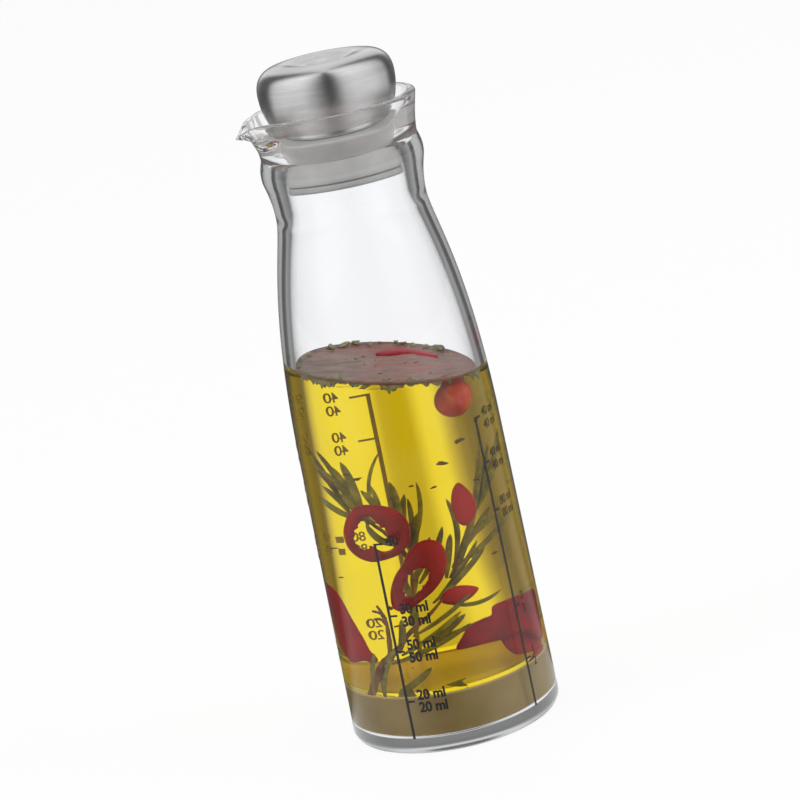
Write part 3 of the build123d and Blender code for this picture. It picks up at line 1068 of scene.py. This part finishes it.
def build_scum():
    """A ragged band of wet herbs along the glass, above and below the top of the oil."""
    count, columns = 420, []
    for angle in (part_turn(i, count) for i in range(count)):
        x, y = math.cos(angle), math.sin(angle)
        wide = ripple(x, y, 3.1, 2.0) + 0.55 * ripple(x, y, 9.0, 5.0)
        fine = ripple(x, y, 26.0, 9.0) + 0.5 * ripple(x, y, 60.0, 4.0)
        down = 0.25 + 4.4 * max(0, wide * 1.3 + 0.1) * (0.75 + 0.5 * fine)
        down = min(max(down, 0.15), 4.4)
        up = min(0.35 + 0.8 * max(0, fine + 0.3 * wide), 1.5)
        thick = 0.5 + 0.5 * max(0, fine)
        edge = surface_edge(angle, 0.3)
        level = level_at(edge, angle)
        line = []
        # Up along the glass, then down along the band's inner side
        for share, inward in ((0, 0), (0.35, 0), (0.7, 0), (1, 0), (0.85, thick), (0.5, thick), (0.15, thick)):
            height = along(level - down, level + up, share)
            line.append((min(edge, read_line(GLASS_INSIDE, height) - 0.3) - inward, height))
        columns.append([polar(r, angle, z) for r, z in line])
    new_piece("herb_scum", lattice(columns, looped=True), crumb_finish(), "bottle")


def add_crumb(points, faces, centre, size, flat, random):
    """A broken scrap of herb: a lumpy flake with torn edges."""
    ball = bmesh.new()
    bmesh.ops.create_icosphere(ball, subdivisions=2, radius=1.0)
    turn = Matrix.Rotation(random.uniform(0, 6.28), 3, "Z") @ Matrix.Rotation(random.uniform(-0.9, 0.9), 3, "X")
    seed = Vector((random.uniform(0, 50), random.uniform(0, 50), random.uniform(0, 50)))
    stretch = Vector((random.uniform(0.7, 1.9), random.uniform(0.4, 1.0), flat))
    start = len(points)
    for vertex in ball.verts:
        lump = 1 + 0.75 * noise.noise(vertex.co * 1.5 + seed) + 0.5 * noise.noise(vertex.co * 3.7 + seed)
        local = Vector((vertex.co.x * stretch.x, vertex.co.y * stretch.y, vertex.co.z * stretch.z)) * lump * size
        points.append(kept_inside(centre + turn @ local * MM, 0.35))
    for face in ball.faces:
        faces.append([start + v.index for v in face.verts])
    ball.free()


# Where the loose herbs gather, as degrees right of the camera's side and how far they spread
HERB_HEAPS = ((18, 14), (34, 9), (-32, 20), (170, 26), (-160, 22), (140, 14), (-95, 30))
# Scraps that hang in the oil: across, towards the camera, up, size
SEEDS = (
    (0.4, 14, 84.5, 0.75), (6.0, 14, 82.6, 0.8), (-13.5, 12, 89.5, 1.0), (9.5, 14, 89.5, 1.5), (15, 12, 95.0, 1.3),
    (16, 6, 80, 0.9), (-12.4, 19, 47.5, 1.2), (17, 6, 55, 0.6), (20, 8, 99.0, 1.0), (-16, 14, 92.0, 0.7),
)
# Between which places the other scraps hang, and how large they are
ADRIFT = ((-20, 20), (-14, 18), (22, 108), (0.25, 0.55))


def build_crumbs():
    """Herb scraps round the top of the oil, scraps and seeds that hang in it."""
    random = Random(11)
    points, faces = [], []
    for i in range(sizes().crumb_count):
        angle = facing_angle(random.gauss(*HERB_HEAPS[i % len(HERB_HEAPS)]))
        reach = surface_edge(angle, random.uniform(0.5, 2.6))
        place = on_the_oil(reach, angle, random.uniform(-1.7, 1.3))
        add_crumb(points, faces, place, random.uniform(0.35, 1.5), random.uniform(0.3, 0.7), random)
    for _ in range(20):
        angle = random.uniform(0, 2 * math.pi)
        place = on_the_oil(random.uniform(4, 24), angle, 0.4)
        add_crumb(points, faces, place, random.uniform(0.3, 0.8), 0.25, random)
    new_piece("floating_herbs", (points, faces), crumb_finish(), "bottle")
    points, faces = [], []
    adrift = [tuple(random.uniform(*limits) for limits in ADRIFT) for _ in range(16)]
    for across, toward, up, size in SEEDS + tuple(adrift):
        add_crumb(points, faces, seen(across, toward, up), size, 0.4, random)
    new_piece("spice_seeds", (points, faces), seed_finish(), "bottle")


# ---------------------------------------------------------------- rosemary


# A needle's section, as (across, up): rolled under at its edges, with a groove along its upper face
NEEDLE_SECTION = ((1, 0), (0.62, 0.3), (0, 0.12), (-0.62, 0.3), (-1, 0), (-0.5, -0.28), (0.5, -0.28))
NEEDLE_STATIONS = 12
STEM_SIDES = 8


def add_needle(points, faces, root, tip, bow, width, belly):
    """One rosemary needle: narrow, blunt, and bowed to one side."""
    run = tip - root
    way = run.normalized()
    side = way.cross(belly)
    side = side.normalized() if side.length > 1e-6 else way.orthogonal().normalized()
    up = side.cross(way).normalized()
    start = len(points)
    for t in (i / NEEDLE_STATIONS for i in range(NEEDLE_STATIONS + 1)):
        swell = 0.38 + 0.62 * math.sin(math.pi / 2 * min(t / 0.45, 1))
        taper = math.sqrt(max(0.02, 1 - max(0, (t - 0.62) / 0.38) ** 2.4))
        half = width / 2 * (swell * taper)
        centre = root + run * t + side * (run.length * bow * 4 * t * (1 - t))
        for across, lift in NEEDLE_SECTION:
            points.append(kept_inside(centre + side * half * across + up * half * lift))
    join_rings(faces, start, NEEDLE_STATIONS + 1, len(NEEDLE_SECTION), capped=True)


def stem(line, thick, thin):
    """A twig along a line, a little knotty, that narrows from its root."""
    points, faces = [], []
    for i, place in enumerate(line):
        ahead = (line[min(i + 1, len(line) - 1)] - line[max(i - 1, 0)]).normalized()
        side = ahead.orthogonal().normalized()
        other = ahead.cross(side)
        radius = along(thick, thin, min(i / (len(line) - 1) * 1.6, 1)) * MM * (1 + 0.12 * math.sin(i * 2.1))
        for swing in (part_turn(k, STEM_SIDES) for k in range(STEM_SIDES)):
            points.append(kept_inside(place + (side * math.cos(swing) + other * math.sin(swing)) * radius))
    join_rings(faces, 0, len(line), STEM_SIDES, capped=True)
    return points, faces


# Stems as places (across, towards the camera, up), then their thickness at the root and at the tip
MAIN_STEM = (
    (-26.5, 12, 12.0), (-24.9, 17, 18), (-21.8, 20, 24.6), (-17.8, 20, 29.8), (-13.1, 19, 33.1), (-7.9, 18, 38.2),
    (-1.9, 17, 42.5), (4.5, 14, 49.0), (8.0, 11, 57.0), (12.0, 7, 66.0), (16.4, 3, 75.7), (18.6, 0, 84.0),
)
LEFT_STEM = (
    (-3.5, 14, 60.0), (-7.9, 17, 70.1), (-12.6, 15, 75.9), (-17.4, 11, 82.2), (-20.7, 7, 89.5), (-21.8, 4, 95),
)
MIDDLE_STEM = ((-6.5, 13, 39.1), (-4.4, 11, 51.6), (-3.1, 12, 63.7), (-2.0, 10, 72.0))
FORK = ((-15.2, 19.5, 30.4), (-14.6, 21, 40.1), (-14.7, 21, 45.0), (-16.4, 21, 49.3))
FORK_LOW = ((-14.6, 21, 44.4), (-15.8, 21, 46.6), (-18.2, 21, 47.8))
FORK_SIDE = ((-14.6, 21, 42.8), (-16.0, 21, 44.6), (-18.2, 21, 45.0))
SPRIGS = {
    "rosemary_main": (MAIN_STEM, 2.0, 0.35),
    "rosemary_left": (LEFT_STEM, 0.8, 0.3),
    "rosemary_middle": (MIDDLE_STEM, 0.75, 0.3),
    "rosemary_fork": (FORK, 1.0, 0.45),
    "rosemary_fork_low": (FORK_LOW, 0.7, 0.4),
    "rosemary_fork_side": (FORK_SIDE, 0.65, 0.4),
}
# Needles as (root, tip, width, bow), each place across, towards the camera and up
NEEDLES = {
    "rosemary_main": (
        ((-25.0, 20, 18.6), (-20.7, 21, 33.6), 2.4, -0.06), ((-20.0, 21, 18.4), (-13.8, 22, 34.2), 2.3, -0.1),
        ((-18.6, 21, 18.2), (-4.4, 23, 26.5), 2.4, 0.06), ((-17.3, 22, 19.8), (4.5, 22, 20.6), 1.6, 0.08),
        ((-15.4, 20, 29.2), (8.4, 16, 36.7), 1.9, 0.05), ((-11.7, 19, 31.3), (6.4, 15, 41.0), 2.0, 0.05),
        ((-12.2, 19, 32.1), (-9.7, 19, 43.1), 2.2, 0.05), ((-6.8, 18, 36.6), (-5.5, 16, 46.5), 2.0, 0.05),
        ((-7.4, 18, 36.7), (9.7, 14, 45.9), 2.0, 0.06), ((-0.3, 16, 45.8), (16.2, 12, 59.6), 2.2, 0.03),
        ((1.7, 15, 47.6), (13.9, 11, 61.6), 1.9, 0.05), ((2.4, 14, 45.2), (17.6, 10, 43.5), 1.4, 0.16),
        ((-2.6, 16, 34.2), (13.6, 12, 36.4), 2.0, 0.05), ((-3.1, 17, 32.2), (7.3, 14, 39.6), 1.9, 0.0),
        ((5.1, 12, 51.9), (12.2, 8, 66.3), 2.0, 0.05), ((6.3, 11, 54.9), (14.6, 5, 73.7), 2.0, 0.05),
        ((8.7, 10, 58.4), (17.7, 4, 69.8), 2.0, 0.0), ((6.8, 9, 54.4), (23.0, 3, 65.9), 1.8, 0.04),
        ((10.6, 8, 61.8), (19.1, 2, 67.4), 1.8, 0.0), ((11.4, 7, 64.2), (17.4, 1, 90.4), 2.0, 0.04),
        ((12.8, 6, 67.0), (19.6, 0, 89.4), 2.0, 0.02), ((14.1, 5, 69.9), (20.9, -1, 82.9), 1.8, 0.0),
        ((14.7, 6, 70.7), (17.8, 0, 84.7), 1.8, 0.05), ((7.2, 11, 57.1), (7.9, 8, 76.7), 1.9, 0.1),
        ((4.3, 12, 52.1), (7.2, 9, 65.4), 1.8, 0.0), ((15.6, 3, 74.0), (22.5, -3, 92.0), 1.8, 0.04),
    ),
    "rosemary_left": (
        ((-14.1, 15, 76.3), (-16.7, 13, 96.0), 2.5, 0.04), ((-12.8, 15, 74.6), (-22.2, 10, 93.5), 2.0, 0.06),
        ((-15.8, 14, 79.5), (-19.6, 10, 94.8), 2.2, 0.08), ((-15.3, 14, 77.1), (-24.5, 8, 84.4), 2.0, -0.06),
        ((-16.7, 14, 78.1), (-22.6, 8, 87.9), 2.0, 0.06), ((-16.1, 12, 81.2), (-21.0, 5, 98.9), 2.0, 0.05),
        ((-17.6, 10, 83.5), (-22.6, 4, 93.1), 1.8, 0.05), ((-9.2, 16, 73.6), (-5.8, 15, 97.8), 1.1, -0.14),
        ((-7.1, 16, 70.7), (-12.8, 14, 86.1), 2.2, 0.06), ((-6.6, 18, 67.2), (-14.2, 19, 75.8), 2.2, -0.12),
        ((-9.5, 15, 73.8), (-10.6, 15, 88.1), 1.5, 0.08), ((-5.3, 14, 67.8), (-4.8, 12, 86.8), 2.6, 0.05),
        ((-11.0, 16, 75.0), (-18.6, 14, 86.0), 2.1, -0.05), ((-18.8, 9, 86.0), (-24.0, 2, 101.0), 1.8, 0.03),
    ),
    "rosemary_middle": (
        ((-2.9, 12, 63.6), (1.7, 10, 84.7), 1.3, 0.08), ((-3.1, 12, 62.7), (-1.7, 9, 81.4), 2.0, -0.06),
        ((-2.9, 12, 60.5), (0.4, 9, 74.4), 2.0, 0.0), ((-3.3, 11, 61.4), (-1.1, 8, 79.6), 1.7, 0.05),
        ((-3.8, 10, 52.6), (2.1, 8, 65.8), 1.7, 0.05), ((-2.5, 10, 51.8), (5.6, 8, 68.2), 1.8, 0.05),
        ((-4.9, 9, 46.8), (-2.4, 7, 56.0), 1.8, 0.0), ((-5.2, 9, 47.1), (-6.2, 7, 54.8), 1.8, 0.0),
    ),
}


def build_rosemary():
    leaf, twig = needle_finish(), twig_finish()
    for name, (line, thick, thin) in SPRIGS.items():
        shape = stem(through([seen(*p) for p in line], 6), thick, thin)
        new_piece(name + "_twig", shape, twig, "bottle")
    for number, (name, needles) in enumerate(NEEDLES.items()):
        random = Random(40 + number)
        points, faces = [], []
        for root, tip, width, bow in needles:
            belly = Vector(seen(random.uniform(-0.7, 0.7), 1, random.uniform(-0.7, 0.7)))
            add_needle(points, faces, seen(*root), seen(*tip), bow, width * MM, belly)
        new_piece(name + "_needles", (points, faces), leaf, "bottle")


# ---------------------------------------------------------------- pepper and tomato


def closed_line(corners, per_span):
    """A smooth closed line through the corners."""
    corners = list(corners)
    line = through(corners[-2:] + corners + corners[:2], per_span)
    return line[2 * per_span : (2 + len(corners)) * per_span]


def evenly(line, count):
    """As many places as asked, evenly spaced along a closed line, from where it is furthest right."""
    first = max(range(len(line)), key=lambda i: line[i].x)
    line = line[first:] + line[: first + 1]
    steps = [(b - a).length for a, b in zip(line, line[1:])]
    total, places, walked, i = sum(steps), [], 0.0, 0
    for k in range(count):
        while walked + steps[i] < total * k / count:
            walked += steps[i]
            i += 1
        places.append(line[i].lerp(line[i + 1], (total * k / count - walked) / max(steps[i], 1e-9)))
    return places


def outline_of(corners, count):
    """An outline's places, evenly spaced, and the middle of them."""
    places = evenly(closed_line([Vector(p) for p in corners], 8), count)
    return places, sum(places, Vector((0, 0))) / count


def build_pepper_ring(name, outer, inner, toward, leans, depth, material):
    """A slice across a pepper: the skin's outline and the torn inner edge as the camera's side sees them."""
    count, sides = 120, 16
    skin, middle = outline_of(outer, count)
    hole, _ = outline_of(inner, count)
    points, faces = [], []
    for a, b in zip(skin, hole):
        torn = 0.9 * ripple(b.x, b.y, 0.8, 4) + 0.5 * ripple(b.x, b.y, 2.2, 1)
        b = b + (a - b).normalized() * torn
        for k in range(sides):
            around = part_turn(k, sides)
            share = (1 - math.cos(around)) / 2
            flat = math.copysign(abs(math.sin(around)) ** 0.6, math.sin(around))
            spot = a.lerp(b, share)
            bumps = 0.35 * ripple(spot.x, spot.y, 0.5, k * 0.3)
            away = toward + (spot.x - middle.x) * leans[0] - (spot.y - middle.y) * leans[1]
            points.append(kept_inside(seen(spot.x, away + depth / 2 * flat * (1 - 0.3 * share) + bumps, spot.y)))
    join_rings(faces, 0, count, sides, looped=True)
    new_piece(name, (points, faces), material, "bottle")


# How wide the rings of a flat piece are, from its middle to its edge
PIECE_RINGS = (0.25, 0.5, 0.72, 0.88, 0.96, 1.0)


def build_pepper_piece(name, outline, reach, thickness, material, seed):
    """A flat piece of pepper curved against the glass. Its outline is (round the axis, up), in millimetres."""
    count, facing = 96, facing_angle()
    edge, middle = outline_of(outline, count)
    points, faces = [], []
    # From the middle of its outer side over the edge to the middle of its inner side
    for side, share in [(1, share) for share in PIECE_RINGS] + [(-1, share) for share in reversed(PIECE_RINGS)]:
        rise = thickness / 2 * math.sqrt(1 - share**6) * side
        for spot in edge:
            place = middle.lerp(spot, share)
            angle = facing + place.x / reach
            radius = reach - thickness / 2 + rise + 0.6 * ripple(place.x, place.y, 0.15, seed)
            points.append(kept_inside(Vector((radius * math.cos(angle), radius * math.sin(angle), place.y)) * MM, 0.5))
    join_rings(faces, 0, 2 * len(PIECE_RINGS), count, capped=True)
    new_piece(name, (points, faces), material, "bottle")


# Outlines of the pepper's pieces, as (across, up) seen from the camera's side
LARGE_RING = (
    (-21.1, 73.6), (-19.0, 78.6), (-15.4, 81.9), (-10.7, 81.8), (-6.4, 80.1), (-3.1, 76.5), (-2.3, 72.6), (-3.4, 68.2),
    (-5.9, 65.1), (-10.0, 63.6), (-14.8, 63.3), (-18.7, 65.5), (-20.8, 68.8),
)
LARGE_HOLE = (
    (-18.4, 71.7), (-16.3, 76.0), (-13.1, 78.3), (-11.0, 75.6), (-8.6, 71.5), (-7.7, 67.4), (-9.5, 65.9), (-12.2, 66.3),
    (-13.6, 68.6), (-15.2, 67.4), (-17.3, 68.2),
)
SMALL_RING = (
    (-12.0, 52.6), (-9.9, 57.7), (-6.5, 62.0), (-3.4, 66.3), (0.8, 68.1), (4.8, 66.6), (6.2, 62.1), (4.6, 56.0),
    (1.2, 52.1), (-4.1, 48.8), (-9.1, 46.7), (-12.0, 48.4),
)
SMALL_HOLE = (
    (-7.7, 53.8), (-5.9, 57.1), (-3.0, 59.4), (-0.5, 59.2), (0.1, 56.8), (-2.0, 53.5), (-5.1, 51.7), (-7.3, 51.4),
)
# Outlines of the flat pieces, as (round the axis from the camera's side, up)
LEFT_PIECE = (
    (-46.0, 53.0), (-38.0, 53.0), (-33.3, 48.8), (-30.1, 43.8), (-27.1, 38.1), (-24.9, 33.6), (-22.4, 31.0),
    (-24.2, 29.7), (-28.4, 30.1), (-36.0, 28.4), (-40.8, 30.7), (-44.4, 33.2), (-45.2, 40.5), (-47.4, 46.8),
)
RIGHT_PIECE = (
    (3.7, 31.9), (6.2, 35.2), (8.1, 37.1), (12.4, 38.8), (17.4, 39.2), (18.1, 41.6), (24.6, 41.6), (31.5, 40.5),
    (43.4, 37.3), (43.1, 32.2), (42.6, 27.1), (41.6, 21.8), (36.8, 23.5), (32.6, 27.2), (25.7, 29.4), (19.8, 29.9),
    (14.1, 30.7), (7.6, 31.2),
)
RIGHT_LOBE = (
    (18.5, 31.8), (23.3, 31.4), (30.5, 28.4), (37.4, 24.5), (39.3, 20.4), (34.8, 19.6), (27.9, 21.0), (23.5, 22.4),
    (20.5, 25.4), (18.8, 29.0),
)
TEAR_PIECE = (
    (14.7, 83.3), (17.0, 81.2), (19.1, 77.5), (19.7, 74.1), (18.2, 70.8), (15.3, 69.0), (13.4, 69.5), (11.9, 71.8),
    (11.3, 75.9), (11.9, 79.5), (13.1, 82.3),
)
MIDDLE_PIECE = (
    (2.5, 48.5), (6.0, 49.3), (10.5, 48.3), (14.1, 45.9), (11.6, 44.0), (7.7, 43.2), (4.4, 43.7), (2.0, 45.4),
)


def build_peppers():
    red, pale = pepper_finish("red pepper skin"), pepper_finish("red pepper flesh", 1.25)
    build_pepper_ring("pepper_ring_large", LARGE_RING, LARGE_HOLE, 18.8, (0.25, 0.0), 4.4, red)
    build_pepper_ring("pepper_ring_small", SMALL_RING, SMALL_HOLE, 23.5, (0.0, 0.1), 4.2, red)
    build_pepper_piece("pepper_piece_left", LEFT_PIECE, 28.4, 2.4, red, 2.0)
    build_pepper_piece("pepper_piece_right", RIGHT_PIECE, 28.8, 2.2, red, 5.0)
    build_pepper_piece("pepper_lobe", RIGHT_LOBE, 26.0, 2.4, pale, 3.0)
    build_pepper_piece("pepper_tear", TEAR_PIECE, 24.6, 2.6, pale, 7.0)
    build_pepper_piece("pepper_piece_middle", MIDDLE_PIECE, 16.0, 2.6, pale, 9.0)


# The middle line of the scrap that floats, as (across, towards the camera)
FLOATING_SCRAP = ((-2.0, -11.5), (2.0, -15.5), (7.5, -17.0), (12.5, -14.5), (17.5, -8.0))


def build_surface_pepper():
    """A scrap of pepper that floats in the film, under its streaks."""
    line, sides = through(FLOATING_SCRAP, 8), 14
    points, faces = [], []
    for i, spot in enumerate(line):
        t = i / (len(line) - 1)
        half = 6.4 * math.sqrt(max(0.03, math.sin(math.pi * min(max(t, 0.02), 0.98)))) * (1 - 0.45 * t)
        for swing in (part_turn(k, sides) for k in range(sides)):
            place = seen(spot.x, spot.y + half * math.cos(swing) * (1 + 0.25 * math.sin(9 * t)), 0)
            place.z = (oil_level(place.x, place.y) + 0.1 + 0.85 * math.sin(swing)) * MM
            points.append(kept_inside(place, 0.5))
    join_rings(faces, 0, len(line), sides, capped=True)
    new_piece("pepper_scrap_floating", (points, faces), pepper_finish("floating pepper skin", 1.1), "bottle")


def build_tomato():
    """A cherry tomato under the surface, with its dimple and faint lobes."""
    across, toward, up = 16.8, 15.2, 109.0
    radius, count, rows = 6.0, 72, 40
    columns = []
    for angle in (part_turn(i, count) for i in range(count)):
        lobe = 1 + 0.012 * math.cos(5 * angle)
        column = []
        for polar_angle in (math.pi * k / rows for k in range(rows + 1)):
            dimple = 0.13 * math.exp(-((polar_angle / 0.32) ** 2))
            r = radius * lobe * math.sin(polar_angle) * (1 - 0.02 * math.cos(2 * polar_angle))
            z = radius * math.cos(polar_angle) * (1 - dimple) * 0.97
            column.append(kept_inside(seen(across + r * math.cos(angle), toward + r * math.sin(angle), up + z), 0.4))
        columns.append(column)
    new_piece("cherry_tomato", lattice(columns, looped=False), tomato_finish(), "bottle")


# ---------------------------------------------------------------- volume marks


# One scale for each side of the bottle: degrees right of the camera's side, height of the line's top, its width, how
# long its ticks are, how tall, wide and bold its numbers are, and its ticks as (height, number above, number below)
SCALES = (
    (
        -25.8, 71.4, 0.9, 2.7, (1.15, 0.92, 0.05),
        ((71.4, "40", ""), (47.5, "30 ml", "30 ml"), (35.5, "50 ml", "50 ml"), (18.7, "20 ml", "20 ml")),
    ),
    (
        48.0, 102.7, 0.9, 2.5, (1.0, 0.9, 0.015),
        (
            (102.7, "40 ml", "40 ml"), (87.8, "40 ml", "40 ml"), (72.0, "80 ml", "80 ml"),
            (40.0, "2", "2"), (22.0, "1", "2"),
        ),
    ),
    (
        122.0, 96.0, 0.8, 2.4, (1.0, 0.8, 0.02),
        ((96.0, "40", "40"), (76.0, "20", "20"), (58.0, "60 ml", "60 ml"), (31.0, "1", "1")),
    ),
    (
        184.6, 107.5, 0.5, 2.1, (1.15, 0.26, 0.01),
        ((107.5, "40", "40"), (93.5, "40", "40"), (60.0, "80 ml", "80 ml"), (30.0, "20", "20")),
    ),
    (
        262.0, 99.0, 0.8, 2.4, (1.0, 0.8, 0.02),
        ((99.0, "40", "40"), (84.0, "30 ml", "30 ml"), (66.0, "50 ml", "50 ml"), (30.0, "1", "1")),
    ),
)
LINE_FOOT = 5.8
# How far the print stands off the glass and how thick it is, and how tall a tick's bar is
INK_LIFT, INK_DEPTH, TICK_BAR = 0.12, 0.04, 0.65
# How far over and under a tick its numbers stand, on the line and at its top
ON_THE_LINE, AT_THE_TOP = (1.9, -2.3), (0.6, -3.6)
NUMBER_GAP = 1.1
# How high a capital is for a letter size of one
CAPITAL = 0.72


def on_the_glass(bearing, across, up, lift):
    """A point on the outside of the glass, across and up from a bearing, in millimetres."""
    radius = read_line(GLASS_SIDE[20:], up) + lift
    angle = bearing + across / radius
    return Vector((radius * math.cos(angle), radius * math.sin(angle), up)) * MM


def add_bar(flat, left, low, right, high):
    """A printed bar, cut into short lengths so that it follows the glass."""
    steps = max(1, round((high - low) / 3))
    for i in range(steps):
        a, b = along(low, high, i / steps), along(low, high, (i + 1) / steps)
        flat.append([(left, a), (right, a), (right, b), (left, b)])


def add_number(flat, words, style, left, middle):
    """A printed number: its outline filled flat, before it is laid on the glass."""
    height, wide, bold = style
    text = bpy.data.curves.new("number", "FONT")
    text.body = words
    text.size = height / CAPITAL
    text.space_character = 0.96
    text.offset = bold * height
    text.resolution_u = 3
    made = bpy.data.objects.new("number", text)
    bpy.context.scene.collection.objects.link(made)
    bpy.context.view_layer.update()
    mesh = bpy.data.meshes.new_from_object(made.evaluated_get(bpy.context.evaluated_depsgraph_get()))
    places = [(left + vertex.co.x * wide, middle - height / 2 + vertex.co.y) for vertex in mesh.vertices]
    flat.extend([places[v] for v in face.vertices] for face in mesh.polygons)
    bpy.data.objects.remove(made)
    bpy.data.curves.remove(text)
    bpy.data.meshes.remove(mesh)


def scale_outlines(top, width, tick, style, ticks):
    """Everything one scale prints, as flat outlines of (across, up) in millimetres."""
    tall, wide, bold = style
    size = sizes().number_height / MM * tall
    flat = []
    add_bar(flat, -width / 2, LINE_FOOT, width / 2, top)
    for height, above, below in ticks:
        add_bar(flat, width / 2, height - TICK_BAR, tick, height)
        for words, away in zip((above, below), ON_THE_LINE if height < top else AT_THE_TOP):
            if words:
                add_number(flat, words, (size, wide, bold), tick + NUMBER_GAP, height + away)
    return flat


def build_marks():
    ink = ink_finish()
    for number, (degrees, *scale) in enumerate(SCALES, 1):
        built = bmesh.new()
        for outline in scale_outlines(*scale):
            built.faces.new([built.verts.new(on_the_glass(facing_angle(degrees), x, z, INK_LIFT)) for x, z in outline])
        bmesh.ops.remove_doubles(built, verts=built.verts, dist=1e-6)
        bmesh.ops.recalc_face_normals(built, faces=built.faces)
        outward = sum(f.normal.xy.dot(f.calc_center_median().xy) for f in built.faces)
        if outward < 0:
            bmesh.ops.reverse_faces(built, faces=built.faces)
        bmesh.ops.solidify(built, geom=built.faces[:], thickness=INK_DEPTH * MM)
        mesh = bpy.data.meshes.new(f"volume_marks_{number}")
        built.to_mesh(mesh)
        built.free()
        mesh.materials.append(ink)
        marks = bpy.data.objects.new(f"volume_marks_{number}", mesh)
        bpy.context.scene.collection.objects.link(marks)
        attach(marks, "bottle")


# ---------------------------------------------------------------- operators


class StageOperator(bpy.types.Operator):
    """Sets the camera, the soft lamps, the surround and the pale floor"""

    bl_idname = "dressing_bottle.stage"
    bl_label = "Stage and camera"

    def execute(self, context):
        context.scene.view_settings.view_transform = "Standard"
        place_camera()
        group = surround_group()
        build_world(group)
        build_floor(group)
        for name, lamp in LAMPS.items():
            place_lamp(name, *lamp)
        return {"FINISHED"}


class GlassOperator(bpy.types.Operator):
    """Builds the glass with its beak"""

    bl_idname = "dressing_bottle.glass"
    bl_label = "Glass"

    def execute(self, context):
        build_glass()
        return {"FINISHED"}


class StopperOperator(bpy.types.Operator):
    """Builds the steel cap, the core and the silicone seals"""

    bl_idname = "dressing_bottle.stopper"
    bl_label = "Stopper"

    def execute(self, context):
        build_cap()
        build_core()
        build_seals()
        return {"FINISHED"}


class LiquidOperator(bpy.types.Operator):
    """Fills the bottle with vinegar, oil and the floating film"""

    bl_idname = "dressing_bottle.liquids"
    bl_label = "Oil and vinegar"

    def execute(self, context):
        build_liquids()
        build_film()
        build_scum()
        return {"FINISHED"}


class HerbOperator(bpy.types.Operator):
    """Adds the rosemary, the herb crumbs and the seeds"""

    bl_idname = "dressing_bottle.herbs"
    bl_label = "Rosemary and crumbs"

    def execute(self, context):
        build_rosemary()
        build_crumbs()
        return {"FINISHED"}


class VegetableOperator(bpy.types.Operator):
    """Adds the pepper pieces and the cherry tomato"""

    bl_idname = "dressing_bottle.vegetables"
    bl_label = "Pepper and tomato"

    def execute(self, context):
        build_peppers()
        build_surface_pepper()
        build_tomato()
        return {"FINISHED"}


class MarkOperator(bpy.types.Operator):
    """Prints the volume marks on the glass"""

    bl_idname = "dressing_bottle.marks"
    bl_label = "Volume marks"

    def execute(self, context):
        build_marks()
        return {"FINISHED"}


OPERATORS = (
    StageOperator, GlassOperator, StopperOperator, LiquidOperator, HerbOperator, VegetableOperator, MarkOperator,
)


class BottlePanel(bpy.types.Panel):
    """Lists the bottle's pieces in the sidebar"""

    bl_idname = "VIEW3D_PT_dressing_bottle"
    bl_label = "Dressing bottle"
    bl_space_type = "VIEW_3D"
    bl_region_type = "UI"
    bl_category = "Dressing bottle"

    def draw(self, context):
        for group in (context.scene.bottle_sizes, context.scene.bottle_colours):
            for name in group.__annotations__:
                self.layout.prop(group, name)
        for operator in OPERATORS:
            self.layout.operator(operator.bl_idname)


CLASSES = (BottleSizes, BottleColours, *OPERATORS, BottlePanel)


def register():
    for made in CLASSES:
        bpy.utils.register_class(made)
    bpy.types.Scene.bottle_sizes = PointerProperty(type=BottleSizes)
    bpy.types.Scene.bottle_colours = PointerProperty(type=BottleColours)


def unregister():
    del bpy.types.Scene.bottle_colours
    del bpy.types.Scene.bottle_sizes
    for made in reversed(CLASSES):
        bpy.utils.unregister_class(made)


def main():
    register()
    for operator in OPERATORS:
        group, name = operator.bl_idname.split(".")
        getattr(getattr(bpy.ops, group), name)()


if __name__ == "__main__":
    main()
